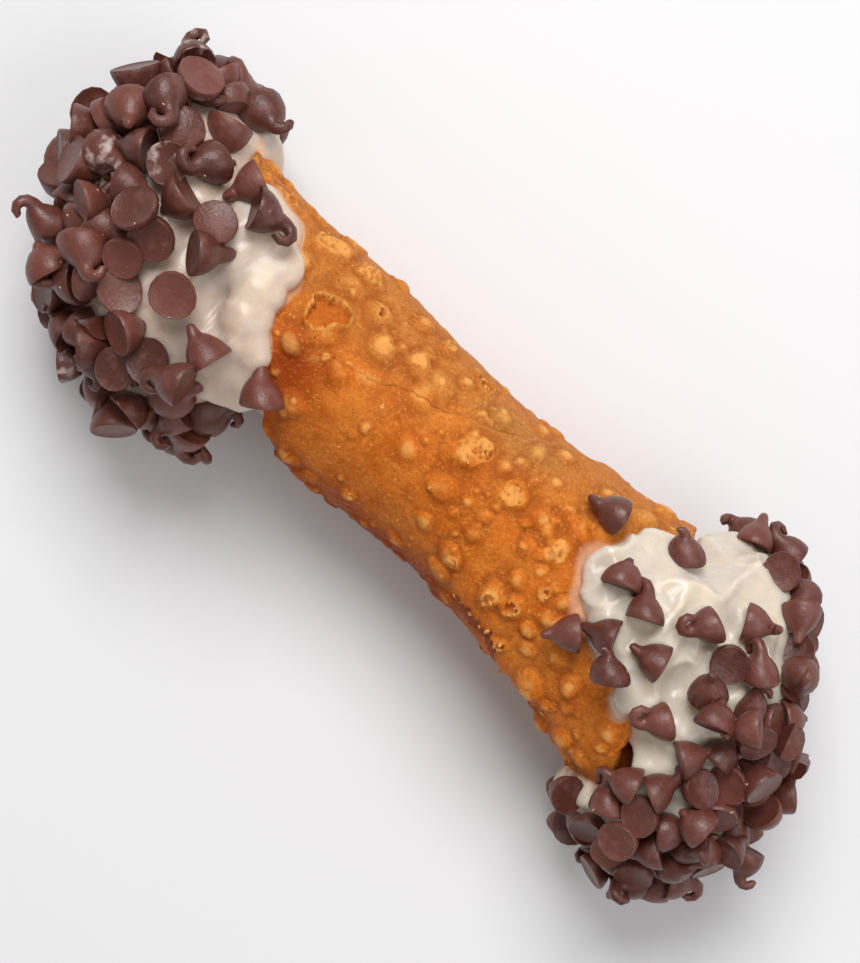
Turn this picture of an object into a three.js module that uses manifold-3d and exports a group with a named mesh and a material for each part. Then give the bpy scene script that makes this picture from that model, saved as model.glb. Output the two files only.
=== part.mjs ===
// A cannoli lying on its side: a blistered fried pastry tube, filled from end to end with whipped
// ricotta cream that swells out over both rims, each swelling dipped in small chocolate chips.
// Millimetres. X runs along the tube, Z is up, and the swellings rest on the plane Z = 0.
// The shapes are worked out in the tube's own frame, with its axis on X, and placed at the end.
import * as THREE from "three";
import { mergeVertices } from "three/addons/utils/BufferGeometryUtils.js";
import Module from "manifold-3d";

const wasm = await Module();
wasm.setup();

const DEGREE = Math.PI / 180;
const GOLDEN_ANGLE = Math.PI * (3 - Math.sqrt(5));

// Where the tube's own frame sits in the part's frame
const axisHeight = 21.5;
const axisAt = { x: -0.3, y: 2.5 };

// The pastry tube
const tube = {
  radius: 15.1,
  flare: 2.7,
  flareReach: 46,
  wall: 1.9,
  waviness: 0.5,
};
// Each rim is cut on a slant: its place along X at the axis, and how far that moves for each mm of Y
const rims = {
  left: { at: -35.5, slant: -0.95 },
  right: { at: 44.5, slant: -0.39 },
};
// The right end opens wider towards one side, as an angle from the top towards +Y
const opening = { from: 30, to: 50, widening: 4.6, angle: -82, spread: 75 };
// The rolled sheet's two free edges show as steps that wind along the tube
const flap = { step: 0.9, fade: 95, angle: 28, turn: 1.2, surge: 35, surgeReach: 26 };
const tuck = { step: 1.1, fade: 40, angle: -57, drop: 18, dropFrom: 24, dropTo: 30, from: 13, to: 40 };
const clearance = 0.35;

// Large blisters of the fried dough: place along the tube, angle from the top towards +Y, radius, height
const largeBlisters = [
  { along: -25.7, around: 21, radius: 4.3, height: 1.4 },
  { along: -32.4, around: 57, radius: 3.0, height: 1.1 },
  { along: -25.2, around: 63, radius: 2.5, height: 1.0 },
  { along: -19.7, around: 44, radius: 2.6, height: 1.1 },
  { along: -16.2, around: 28, radius: 2.9, height: 1.1 },
  { along: -20.7, around: 84, radius: 2.0, height: 0.8 },
  { along: -14.0, around: 64, radius: 2.0, height: 0.8 },
  { along: -11.0, around: 38, radius: 1.9, height: 0.8 },
  { along: -6.5, around: 34, radius: 3.0, height: 0.9 },
  { along: -18.8, around: 0, radius: 1.9, height: 0.6 },
  { along: -8.8, around: 62, radius: 1.9, height: 0.9 },
  { along: -0.5, around: 57, radius: 2.0, height: 0.8 },
  { along: 4.4, around: 17, radius: 3.2, height: 1.1 },
  { along: 12.8, around: 12, radius: 2.9, height: 1.1 },
  { along: 4.0, around: -10, radius: 2.5, height: 0.8 },
  { along: -3.3, around: -6, radius: 2.2, height: 0.6 },
  { along: 18.2, around: 13, radius: 2.4, height: 0.8 },
  { along: 23.4, around: 6, radius: 2.6, height: 1.0 },
  { along: 20.2, around: -38, radius: 2.2, height: 0.9 },
  { along: 23.6, around: -34, radius: 2.2, height: 0.9 },
  { along: 29.5, around: -26, radius: 2.0, height: 0.9 },
  { along: 33.5, around: -39, radius: 2.1, height: 0.9 },
  { along: 33.8, around: -63, radius: 2.8, height: 1.1 },
  { along: 38.0, around: -45, radius: 2.0, height: 0.9 },
  { along: 39.3, around: -84, radius: 2.2, height: 0.9 },
  { along: 43.0, around: -70, radius: 2.2, height: 0.9 },
  { along: 24.8, around: 54, radius: 2.2, height: 0.8 },
  { along: 32.6, around: 78, radius: 2.2, height: 0.9 },
];
// Smaller blisters are scattered over the rest of the tube, one or none in each cell of a grid
const smallBlisters = { pitch: 6.6, rows: 16, columns: 15, radius: 2.3, height: 0.75, share: 0.62 };

// A swelling of cream: centre, its outward direction in the XY plane, and half sizes. Its lobes lap
// over the tube's rim or bulge beside it
const swellings = {
  left: {
    centre: [-49, 0.2, -1.7],
    outward: 218,
    outer: 20.5,
    inner: 12,
    side: 28,
    rise: 20.5,
    squareness: 2.25,
    lobes: [
      { centre: [-42, 5.5, 10.5], outward: 218, half: [9.5, 9.5, 8.5] },
      { centre: [-33.5, -9, 9], outward: 235, half: [6, 7, 8] },
      { centre: [-51, 20, -3], outward: 218, half: [8, 7, 12] },
    ],
    chips: { count: 80, width: 7.0, reach: 97, bareTurn: 30, stray: 0.12, stack: 0.25, seed: 11 },
  },
  right: {
    centre: [53.6, -4.8, -1.7],
    outward: 20,
    outer: 17.5,
    inner: 9.5,
    side: 27.5,
    rise: 20.5,
    squareness: 2.4,
    lobes: [
      { centre: [41.5, 2.5, 10.5], outward: 22, half: [13.5, 12, 9.3] },
      { centre: [46.5, -8, 9.5], outward: 40, half: [7, 7, 7.5] },
      { centre: [54, -24, -3], outward: 20, half: [7, 6, 12] },
    ],
    chips: { count: 98, width: 6.1, reach: 84, bareTurn: 22, stray: 0.2, stack: 0.25, seed: 47 },
  },
};
const chipShape = { height: 0.78, rim: 0.06, shoulder: 0.76, shoulderHeight: 0.46 };
const chipSides = 5;

// Repeatable scatter: the same index and channel always give the same number from 0 to 1
function scatter(index, channel) {
  const wave = Math.sin(index * 12.9898 + channel * 78.233) * 43758.5453;
  return wave - Math.floor(wave);
}

function smooth(low, high, value) {
  const t = Math.min(1, Math.max(0, (value - low) / (high - low)));
  return t * t * (3 - 2 * t);
}

// Turns an angle in degrees to the range from -180 to 180
function wrap(angle) {
  return angle - 360 * Math.round(angle / 360);
}

// A free edge's step: full height at the edge, fading out over some degrees on its raised side
function stepHeight(degreesIn, step, fade) {
  return degreesIn < 0 || degreesIn > fade ? 0 : step * (1 - smooth(0, fade, degreesIn));
}

function flapAngle(x) {
  return flap.angle + flap.turn * x + flap.surge * smooth(0, flap.surgeReach, x);
}

function tuckAngle(x) {
  return tuck.angle - tuck.drop * smooth(tuck.dropFrom, tuck.dropTo, x);
}

function blisterHeight(distance, blister) {
  const t = distance / blister.radius;
  return t >= 1 ? 0 : blister.height * Math.sqrt(1 - t * t) * smooth(1, 0.72, t);
}

const blisters = [...largeBlisters];
for (let row = 0; row < smallBlisters.rows; row++)
  for (let column = 0; column < smallBlisters.columns; column++) {
    const index = row * smallBlisters.columns + column;
    if (scatter(index, 1) > smallBlisters.share) continue;
    const size = 0.6 + 0.55 * scatter(index, 2);
    blisters.push({
      along: (row - (smallBlisters.rows - 1) / 2 + scatter(index, 3) - 0.5) * smallBlisters.pitch,
      around: (360 / smallBlisters.columns) * (column + scatter(index, 4)),
      radius: smallBlisters.radius * size,
      height: smallBlisters.height * size,
    });
  }

// The tube's outer radius before its edges and blisters, at a place along it and an angle in degrees
// from the top towards +Y
function plainRadius(x, angle) {
  const flared = tube.radius + tube.flare * Math.min(1.3, Math.abs(x) / tube.flareReach) ** 2.2;
  const wavy = tube.waviness * Math.sin(0.13 * x + 2 * angle * DEGREE);
  const away = Math.abs(wrap(angle - opening.angle)) / opening.spread;
  return flared + wavy + opening.widening * smooth(opening.from, opening.to, x) * smooth(1, 0, away);
}

function outerRadius(x, angle) {
  const overlap = stepHeight(wrap(flapAngle(x) - angle), flap.step, flap.fade);
  const tucked =
    smooth(tuck.from, tuck.from + 6, x) *
    smooth(tuck.to, tuck.to - 6, x) *
    stepHeight(wrap(angle - tuckAngle(x)), tuck.step, tuck.fade);
  let raised = 0;
  for (const blister of blisters) {
    const dx = x - blister.along;
    if (Math.abs(dx) > blister.radius) continue;
    const dy = wrap(angle - blister.around) * DEGREE * tube.radius;
    raised = Math.max(raised, blisterHeight(Math.hypot(dx, dy), blister));
  }
  return plainRadius(x, angle) + Math.max(overlap, tucked) + raised;
}

function innerRadius(x, angle) {
  return plainRadius(x, angle) - tube.wall;
}

// A rim's place along X at an angle round the tube, a little ragged
function rimAt(rim, angle) {
  const y = (tube.radius + tube.flare) * Math.sin(angle * DEGREE);
  return rim.at + rim.slant * y + 0.7 * Math.sin(5 * angle * DEGREE + rim.at);
}

// A closed surface from rings of points, each ring one turn about X; the first and last ring are capped
// by their centres unless the rings close on themselves
function ringSolid(rings, closed) {
  const around = rings[0].length;
  const positions = rings.flat(2);
  const faces = [];
  const quad = (a, b, c, d) => faces.push(a, b, c, a, c, d);
  const bands = closed ? rings.length : rings.length - 1;
  for (let i = 0; i < bands; i++)
    for (let j = 0; j < around; j++) {
      const here = i * around;
      const next = ((i + 1) % rings.length) * around;
      const k = (j + 1) % around;
      quad(here + j, next + j, next + k, here + k);
    }
  if (!closed)
    for (const [first, turned] of [
      [0, true],
      [(rings.length - 1) * around, false],
    ]) {
      const centre = positions.length / 3;
      const middle = [0, 1, 2].map(
        (axis) => rings[first / around].reduce((sum, point) => sum + point[axis], 0) / around,
      );
      positions.push(...middle);
      for (let j = 0; j < around; j++) {
        const k = (j + 1) % around;
        if (turned) faces.push(centre, first + j, first + k);
        else faces.push(centre, first + k, first + j);
      }
    }
  const geometry = new THREE.BufferGeometry();
  geometry.setAttribute("position", new THREE.Float32BufferAttribute(positions, 3));
  geometry.setIndex(faces);
  return geometry;
}

// One ring of the tube: radiusOf gives the radius, share runs from the left rim to the right one,
// grow widens the ring and past shifts it along X
function tubeRing(share, radiusOf, grow = 0, past = 0) {
  return angles.map((angle) => {
    const low = rimAt(rims.left, angle);
    const x = low + (rimAt(rims.right, angle) - low) * share;
    const radius = radiusOf(x, angle) + grow;
    return [x + past, radius * Math.sin(angle * DEGREE), radius * Math.cos(angle * DEGREE)];
  });
}

// A filled body that follows the tube's rings and runs past both rims, its ends as square as the rims
function tubeFill(shares, radiusOf, grow, past) {
  const capGrow = -2 * clearance;
  return ringSolid(
    [
      tubeRing(0, innerRadius, capGrow, -past),
      tubeRing(0, radiusOf, grow, -past),
      ...shares.map((share) => tubeRing(share, radiusOf, grow)),
      tubeRing(1, radiusOf, grow, past),
      tubeRing(1, innerRadius, capGrow, past),
    ],
    false,
  );
}

function spread(count, from, to) {
  return Array.from({ length: count }, (_, i) => from + ((to - from) * i) / (count - 1));
}

const around = 40;
const angles = Array.from({ length: around }, (_, i) => (360 * i) / around);
const outerShares = spread(46, 0, 1);
const innerShares = spread(8, 0, 1);
const corePast = 6;

function shellGeometry() {
  const outside = outerShares.map((share) => tubeRing(share, outerRadius));
  const inside = innerShares.toReversed().map((share) => tubeRing(share, innerRadius));
  return ringSolid([...outside, ...inside], true);
}

// The space the tube takes from the cream: its outside, filled, a little larger
function tubePlug() {
  return tubeFill(outerShares, outerRadius, clearance, clearance);
}

// The cream inside the tube, running past both rims into the swellings
function creamCore() {
  return tubeFill(innerShares, innerRadius, -clearance, corePast);
}

function toSolid(geometry) {
  const bare = new THREE.BufferGeometry();
  bare.setAttribute("position", geometry.getAttribute("position"));
  if (geometry.index) bare.setIndex(geometry.index);
  const merged = mergeVertices(bare, 1e-4);
  return new wasm.Manifold(
    new wasm.Mesh({
      numProp: 3,
      vertProperties: new Float32Array(merged.attributes.position.array),
      triVerts: new Uint32Array(merged.index.array),
    }),
  );
}

// The largest body of a solid: hollows sealed inside it and loose scraps are dropped
function mainBody(solid) {
  return solid.decompose().reduce((best, body) => (body.volume() > best.volume() ? body : best));
}

function toMesh(name, solid, material) {
  const made = solid.getMesh();
  const geometry = new THREE.BufferGeometry();
  const positions = new Float32Array(made.numVert * 3);
  for (let i = 0; i < made.numVert; i++)
    for (let axis = 0; axis < 3; axis++)
      positions[3 * i + axis] = made.vertProperties[made.numProp * i + axis];
  geometry.setAttribute("position", new THREE.BufferAttribute(positions, 3));
  geometry.setIndex(new THREE.BufferAttribute(made.triVerts, 1));
  geometry.computeVertexNormals();
  const mesh = new THREE.Mesh(geometry, material);
  mesh.name = name;
  return mesh;
}

// A swelling's own axes: outward from the tube's end, sideways, and up
function axesOf(outward) {
  const out = new THREE.Vector3(Math.cos(outward * DEGREE), Math.sin(outward * DEGREE), 0);
  const up = new THREE.Vector3(0, 0, 1);
  return { out, side: new THREE.Vector3().crossVectors(up, out), up };
}

// How far from a swelling's centre its surface is, in a direction given on its own axes
function reachOf(swelling, [out, side, up]) {
  const along = Math.abs(out) / (out > 0 ? swelling.outer : swelling.inner);
  const power = swelling.squareness;
  const sum =
    along ** power + Math.abs(side / swelling.side) ** power + Math.abs(up / swelling.rise) ** power;
  const lumps = 1 + 0.03 * Math.sin(3.1 * side + 2.3 * up + swelling.outward) * Math.cos(2.7 * out + 1.9 * up);
  return sum ** (-1 / power) * lumps;
}

function inPlace(centre, axes, [out, side, up]) {
  return new THREE.Vector3(...centre)
    .addScaledVector(axes.out, out)
    .addScaledVector(axes.side, side)
    .addScaledVector(axes.up, up);
}

// A ball whose points are moved onto a surface by a function of their direction
function ball(across, down, place) {
  const geometry = new THREE.SphereGeometry(1, across, down);
  const positions = geometry.getAttribute("position");
  const direction = new THREE.Vector3();
  for (let i = 0; i < positions.count; i++) {
    direction.fromBufferAttribute(positions, i).normalize();
    const point = place([direction.x, direction.z, direction.y].map((v, axis) => (axis === 1 ? -v : v)));
    positions.setXYZ(i, point.x, point.y, point.z);
  }
  return geometry;
}

function swellingSolid(swelling) {
  const axes = axesOf(swelling.outward);
  const main = ball(18, 12, (direction) => {
    const reach = reachOf(swelling, direction);
    return inPlace(swelling.centre, axes, direction.map((v) => v * reach));
  });
  const lobes = swelling.lobes.map(({ centre, outward, half }) =>
    ball(12, 8, (direction) => inPlace(centre, axesOf(outward), direction.map((v, axis) => v * half[axis]))),
  );
  return wasm.Manifold.union([main, ...lobes].map(toSolid));
}

// The outline of a chocolate chip, turned about its axis: flat base, round shoulder, drawn-out tip
function chipGeometry(width) {
  const radius = width / 2;
  const height = chipShape.height * width;
  const profile = [
    [0, 0],
    [radius, chipShape.rim * height],
    [chipShape.shoulder * radius, chipShape.shoulderHeight * height],
    [0, height],
  ].map(([r, h]) => new THREE.Vector2(r, h));
  return new THREE.LatheGeometry(profile, chipSides).rotateX(Math.PI / 2);
}

// Where each chip of a swelling goes. The points follow a spiral of even spacing over the swelling,
// nudged at random. The outer cap is covered, with some chips stacked on others, and a few stray
// onto the bare cream beside the tube.
function chipPlaces(swelling) {
  const { chips, centre, outward } = swelling;
  const axes = axesOf(outward);
  const places = [];
  for (let i = 0; i < chips.count; i++) {
    const random = (channel) => scatter(i + chips.seed, channel);
    const polar = Math.acos(1 - (2 * (i + 0.5)) / chips.count) + 0.1 * (random(1) - 0.5);
    const turn = i * GOLDEN_ANGLE + 0.22 * (random(2) - 0.5);
    const direction = [
      Math.cos(polar),
      Math.sin(polar) * Math.cos(turn),
      Math.sin(polar) * Math.sin(turn),
    ];
    const edge = chips.reach + chips.bareTurn * (0.45 - Math.max(-0.6, direction[2])) + 14 * (random(3) - 0.5);
    const covered = polar < edge * DEGREE;
    if (!covered && random(4) > chips.stray) continue;
    const reach = reachOf(swelling, direction);
    const surface = inPlace(centre, axes, direction.map((v) => v * reach));
    const normal = surfaceNormal(swelling, axes, direction);
    const width = chips.width * (0.86 + 0.26 * random(5));
    const layers = covered && random(6) < chips.stack ? 2 : 1;
    for (let layer = 0; layer < layers; layer++) {
      const pick = (channel) => random(channel + 10 * layer);
      places.push({
        point: surface.clone().addScaledVector(normal, width * (0.12 + 0.42 * layer)),
        axis: tilted(normal, axes, pick(7), pick(8)),
        width,
      });
    }
  }
  return places;
}

// The outward normal of a swelling, from two small steps along its surface
function surfaceNormal(swelling, axes, direction) {
  const step = 0.01;
  const at = (offset) => {
    const moved = new THREE.Vector3(...direction).add(offset).normalize().toArray();
    return inPlace(swelling.centre, axes, moved.map((v) => v * reachOf(swelling, moved)));
  };
  const facing = new THREE.Vector3(...direction);
  const helper = Math.abs(facing.z) < 0.9 ? new THREE.Vector3(0, 0, 1) : new THREE.Vector3(1, 0, 0);
  const first = new THREE.Vector3().crossVectors(facing, helper).normalize();
  const second = new THREE.Vector3().crossVectors(facing, first).normalize();
  const here = at(new THREE.Vector3());
  const alongFirst = at(first.multiplyScalar(step)).sub(here);
  const alongSecond = at(second.multiplyScalar(step)).sub(here);
  const normal = new THREE.Vector3().crossVectors(alongFirst, alongSecond).normalize();
  const outwards = here.sub(new THREE.Vector3(...swelling.centre));
  return normal.dot(outwards) < 0 ? normal.negate() : normal;
}

// A chip's axis, leaning well away from the surface normal, by up to a half turn, towards any side
function tilted(normal, axes, lean, turn) {
  const first = new THREE.Vector3().crossVectors(normal, axes.out);
  if (first.length() < 0.1) first.crossVectors(normal, axes.up);
  first.normalize().applyAxisAngle(normal, 2 * Math.PI * turn);
  return normal.clone().applyAxisAngle(first, Math.PI * (0.3 + 0.7 * lean));
}

function chipSolid(place) {
  const upright = new THREE.Vector3(0, 0, 1);
  const middle = 0.4 * chipShape.height * place.width;
  const geometry = chipGeometry(place.width);
  geometry.translate(0, 0, -middle);
  geometry.applyQuaternion(new THREE.Quaternion().setFromUnitVectors(upright, place.axis));
  geometry.translate(place.point.x, place.point.y, place.point.z);
  return toSolid(geometry);
}

// The cream and its chips: the swellings cleared of the tube, joined by the core, cut flat below
function fillingSolid() {
  const pieces = Object.values(swellings).flatMap((swelling) => [
    swellingSolid(swelling),
    ...chipPlaces(swelling).map(chipSolid),
  ]);
  const swollen = wasm.Manifold.union(pieces).subtract(toSolid(tubePlug()));
  const reach = 200;
  const below = toSolid(new THREE.BoxGeometry(reach, reach, reach).translate(0, 0, -reach / 2 - axisHeight));
  return mainBody(swollen.add(toSolid(creamCore())).subtract(below));
}

const pastry = new THREE.MeshStandardMaterial({ color: 0xcb7a35, roughness: 0.55, metalness: 0 });
const cream = new THREE.MeshStandardMaterial({ color: 0xe6d9cb, roughness: 0.4, metalness: 0 });

const cannoli = new THREE.Group();
cannoli.add(toMesh("shell", toSolid(shellGeometry()), pastry));
cannoli.add(toMesh("filling", fillingSolid(), cream));
cannoli.position.set(axisAt.x, axisAt.y, axisHeight);

export default cannoli;
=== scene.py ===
# A cannoli lying on its side: a blistered pastry tube, the cream that swells out of both ends, and
# the chocolate chips on the cream. Lengths in the code are millimetres in the tube's own frame,
# with X along the tube, and become metres in the part's frame when a mesh is written.
import math
from functools import partial

import bpy
import numpy as np
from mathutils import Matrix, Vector
from mathutils.bvhtree import BVHTree
from mathutils.kdtree import KDTree


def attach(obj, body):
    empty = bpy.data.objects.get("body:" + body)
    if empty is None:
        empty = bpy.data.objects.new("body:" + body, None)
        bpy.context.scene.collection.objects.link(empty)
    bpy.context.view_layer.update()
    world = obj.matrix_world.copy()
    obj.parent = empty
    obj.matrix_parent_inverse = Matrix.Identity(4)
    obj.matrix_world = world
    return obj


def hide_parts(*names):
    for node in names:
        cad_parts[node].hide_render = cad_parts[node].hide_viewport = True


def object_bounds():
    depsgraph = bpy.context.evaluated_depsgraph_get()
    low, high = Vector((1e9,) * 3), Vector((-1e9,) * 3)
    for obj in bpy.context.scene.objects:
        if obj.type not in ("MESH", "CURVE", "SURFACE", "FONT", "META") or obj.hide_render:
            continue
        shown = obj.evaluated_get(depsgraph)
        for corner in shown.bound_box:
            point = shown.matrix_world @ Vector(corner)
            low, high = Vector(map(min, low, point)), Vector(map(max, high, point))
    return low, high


bl_info = {
    "name": "Cannoli",
    "version": (1, 0, 0),
    "blender": (4, 5, 0),
    "location": "3D View > Sidebar > Cannoli",
    "description": "Models a cannoli with a blistered shell, whipped cream and chocolate chips",
    "category": "Add Mesh",
}

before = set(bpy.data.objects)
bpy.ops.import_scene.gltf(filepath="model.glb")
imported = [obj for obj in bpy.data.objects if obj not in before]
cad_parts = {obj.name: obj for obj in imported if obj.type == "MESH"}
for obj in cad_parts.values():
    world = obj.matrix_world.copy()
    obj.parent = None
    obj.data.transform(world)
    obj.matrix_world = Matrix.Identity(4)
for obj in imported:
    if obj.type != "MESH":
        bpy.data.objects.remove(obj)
cad_low, cad_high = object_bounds()

MM = 0.001
DEGREE = math.pi / 180

# Where the tube's own frame sits in the part's frame
TUBE_PLACE = np.array((-0.3, 2.5, 21.5))

# The pastry tube: the same form as the solid that it replaces
RADIUS = 15.1
FLARE = 2.7
FLARE_REACH = 46
WALL = 1.9
WAVINESS = 0.5
# Each rim: where its middle is along the tube, and its slant
LEFT_RIM = (-35.5, -0.95)
RIGHT_RIM = (44.5, -0.39)
# Where the tube is a little fuller: place along it, degrees from the top, reach each way, and height
FULLER = ((-25, 85, 13, 40, 1.3), (27, -88, 14, 34, 1.3), (14, 92, 13, 26, 0.6))
OPENING = {"from": 30, "to": 50, "widening": 4.6, "angle": -82, "spread": 75}
FLAP = {"step": 0.9, "fade": 95, "angle": 28, "turn": 1.2, "surge": 35, "reach": 26}
TUCK = {"step": 1.1, "fade": 40, "angle": -57, "drop": 18, "from": 13, "to": 40}

# Large blisters: place along the tube, degrees from the top towards +Y, radius, height, share of the
# radius that has burst open, and how crumpled the open part is
LARGE_BLISTERS = (
    (-25.7, 21, 4.3, 1.4, 0.64, 0.0), (-32.4, 57, 3.0, 1.1, 0.70, 1.0), (-25.2, 63, 2.5, 1.0, 0.64, 1.0),
    (-19.7, 44, 2.6, 1.1, 0.27, 0.0), (-16.2, 28, 2.9, 1.1, 0.0, 0.0), (-20.7, 84, 2.0, 0.8, 0.0, 0.0),
    (-14.0, 64, 2.0, 0.8, 0.0, 0.5), (-11.0, 38, 1.9, 0.8, 0.0, 0.0), (-6.5, 34, 3.0, 0.9, 0.0, 0.0),
    (-18.8, 0, 1.9, 0.6, 0.0, 0.0), (-8.8, 62, 1.9, 0.9, 0.4, 1.0), (-0.5, 57, 2.0, 0.8, 0.6, 0.3),
    (4.4, 17, 3.2, 1.1, 0.68, 1.0), (12.8, 12, 2.9, 1.1, 0.55, 1.0), (4.0, -10, 2.5, 0.8, 0.0, 0.0),
    (-3.3, -6, 2.2, 0.6, 0.0, 0.0), (18.2, 13, 2.4, 0.8, 0.0, 0.0), (23.4, 6, 2.6, 1.0, 0.45, 1.0),
    (20.2, -38, 2.2, 0.9, 0.36, 0.3), (23.6, -34, 2.2, 0.9, 0.42, 0.3), (29.5, -26, 2.0, 0.9, 0.0, 0.0),
    (33.5, -39, 2.1, 0.9, 0.0, 0.0), (33.8, -63, 2.8, 1.1, 0.0, 0.0), (38.0, -45, 2.0, 0.9, 0.0, 0.0),
    (39.3, -84, 2.2, 0.9, 0.0, 0.0), (43.0, -70, 2.2, 0.9, 0.0, 0.0), (24.8, 54, 2.2, 0.8, 0.0, 0.0),
    (32.6, 78, 2.2, 0.9, 0.0, 0.0), (-41.3, 60, 1.8, 0.7, 0.5, 0.3), (25.9, -17, 1.3, 0.5, 0.62, 0.8),
    (26.3, -56, 1.5, 0.6, 0.4, 0.2), (14.0, 26, 1.1, 0.6, 0.0, 0.0), (16.9, 5, 1.1, 0.5, 0.0, 0.0),
    (18.8, -5, 0.9, 0.5, 0.0, 0.0), (27.8, -38, 1.5, 0.7, 0.0, 0.0), (12.8, -39, 1.4, 0.4, 0.5, 0.2),
    (46.6, -80, 1.6, 0.5, 0.6, 0.2),
)
# Smoother stretches with fewer small blisters: place, degrees, reach each way, and the share kept
CALM = ((-12, -24, 17, 32, 0.35), (12, 90, 34, 26, 0.4))
# Small blisters on a scattered grid, of whose places only a share has one, and finer ones at random
SMALL_BLISTERS = {"pitch": 6.6, "rows": 16, "columns": 15, "radius": 2.3, "height": 0.75, "share": 0.62}
FINER_BLISTERS = {"count": 620, "reach": (-52, 54), "seed": 5}
# Rows of points round each rim and along the inside of the tube
RIM_ROWS = 3
INNER_ROWS = 14

# The two swellings of cream, with the same main form as the solid that they replace: the way that
# each bulges in degrees, its reach outwards, inwards, to both sides and up, how boxy it is, and its
# lobes by centre, way and half sizes
SWELLINGS = {
    "left": {
        "centre": (-49, 0.2, -1.7), "outward": 218, "outer": 17.6, "inner": 12,
        "sides": (25, 24.2), "rise": 19.6, "power": 2.25,
        "lobes": (
            ((-42, 5.5, 10.5), 218, (9.5, 9.5, 8.5)),
            ((-33.5, -9.0, 9.0), 235, (6.0, 7.0, 8.0)),
            ((-53.0, 15.5, -3), 218, (7, 6.0, 11)),
        ),
    },
    "right": {
        "centre": (53.6, -4.8, -1.7), "outward": 20, "outer": 15.0, "inner": 9.5,
        "sides": (28, 23.8), "rise": 19.6, "power": 2.4,
        "lobes": (
            ((41.5, 2.5, 10.5), 22, (13.5, 12, 9.3)),
            ((46.5, -8, 9.5), 40, (7.0, 7.0, 7.5)),
            ((54, -22, -3), 20, (7, 5.5, 11)),
        ),
    },
}
# Thin lips of cream on the shell: place along the tube, degrees from the top, half length, half width
LIPS = {
    "left": (
        (-41.0, 24, 3.8, 3.6), (-36.2, 22, 4.0, 4.0), (-35.2, 5, 3.4, 4.2), (-33.9, -9, 3.6, 4.0),
        (-31.2, -22, 4.0, 4.4), (-28.2, -38, 3.6, 4.2),
    ),
    "right": (
        (35.6, 42, 4.6, 5.0), (33.0, 24, 4.2, 4.6), (33.0, 8, 4.0, 4.4), (36.2, -4, 4.0, 4.2),
        (41.6, -14, 4.4, 4.0), (46.0, -24, 3.6, 4.2), (29.6, 15, 2.2, 3.4),
    ),
}
LIP_THICKNESS = 2.0
# Spacing of the grid on which the cream's bodies are first fused
REMESH_GRID = 0.9
# Where a thin film of cream lies on the shell beyond the lips: place along the tube, degrees, radius
FILMS = (
    (26.6, 17, 3.2), (29.9, -3, 2.6), (30.9, -13, 2.2), (49.8, -87, 2.4), (-32.8, 17, 2.2),
)
# A gap between the cream and the wall of the opened right end
GAP = {"centre": (49.8, -16.6, 6.0), "half": (5.2, 3.8, 9.0)}
# The inner end of the rolled sheet, seen in the gap
INNER_END = {"centre": (48.2, -15.8, 1.0), "half": (6.5, 4.6, 8.0)}

# Chips laid singly where the photo shows them: X and Y in the part's frame, lean of the tip from
# straight outwards, the side that it points to, and which shape
PLACED_CHIPS = {
    "left": (
        (-59.8, 15.0, 160, -49, 0), (-72.3, 5.8, 165, 41, 1), (-68.6, 11.4, 78, 14, 3),
        (-57.0, -11.5, 70, 35, 3), (-45.7, 17.0, 88, -115, 2), (-43.7, 12.9, 108, 21, 3),
        (-52.6, 14.8, 55, -106, 3), (-46.5, 7.7, 155, -76, 1), (-52.0, -0.7, 152, 114, 0),
        (-45.9, 2.0, 112, 35, 3), (-50.9, -9.2, 165, -139, 1), (-44.1, -4.8, 160, 131, 0),
        (-41.4, -14.6, 166, 41, 1), (-33.7, -8.5, 84, 162, 1), (-34.1, -13.4, 100, -170, 3),
        (-24.1, -8.5, 80, 125, 3), (-26.8, -16.1, 96, -166, 1), (-47.4, -14.4, 120, 63, 2),
        (-65.7, 17.5, 62, -18, 3), (-61.2, 9.3, 104, -151, 2), (-60.9, 2.8, 72, 24, 3),
        (-52.5, 8.4, 108, -106, 0), (-56.6, 1.3, 150, -4, 4), (-63.5, 25.6, 92, -23, 3),
        (-57.5, 24.5, 75, 131, 3),
    ),
    "right": (
        (27.1, 13.9, 78, -170, 2), (38.6, 15.4, 70, 125, 4), (33.0, 5.8, 100, 109, 0),
        (38.9, 4.4, 95, 114, 3), (33.1, -3.3, 84, -139, 1), (37.5, -0.4, 100, -161, 2),
        (45.2, 1.2, 88, -170, 1), (40.8, -5.6, 80, 125, 4), (47.4, 11.0, 80, -117, 3),
        (50.6, 14.1, 84, 24, 2), (52.9, 7.6, 162, 131, 0), (57.9, 9.0, 70, 125, 3),
        (51.0, 23.7, 165, 41, 1), (46.1, 24.4, 100, 109, 2), (41.4, 25.4, 92, -156, 0),
        (53.2, 2.2, 40, 131, 1), (51.6, -4.4, 80, -128, 3), (56.3, -1.0, 100, 109, 0),
        (61.6, 3.6, 104, -139, 2), (65.1, 6.6, 110, 41, 0), (60.9, -4.5, 84, 92, 2),
        (56.3, -7.8, 95, 57, 1), (60.0, 15.9, 150, -4, 1), (62.0, -8.7, 150, -139, 0),
        (49.1, -23.0, 150, -166, 1), (54.2, -20.6, 76, 119, 3), (56.8, -14.6, 84, 63, 3),
        (54.6, -15.1, 92, -166, 1), (59.1, -25.4, 150, 114, 1), (64.1, -19.9, 100, -128, 3),
    ),
}
# Where the chips' crowd begins: how far outwards from the swelling's centre, for places to its side
CROWD_EDGE = {
    "left": ((-30, -21, -12, -5, 3, 13, 20, 30), (-11, -8, -1, 4.5, 6.5, 6, 2, -6)),
    "right": ((-25, -18, -9, 2.4, 7, 14, 20, 25, 28, 31), (-9, -4, 0, 4, 10, 12, 8, 6, 2, -2)),
}

# How many places are tried for the crowd's chips, and how many ways a chip is turned at each
MOST_TRIES = 5200
TURNS_TRIED = 7
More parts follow.
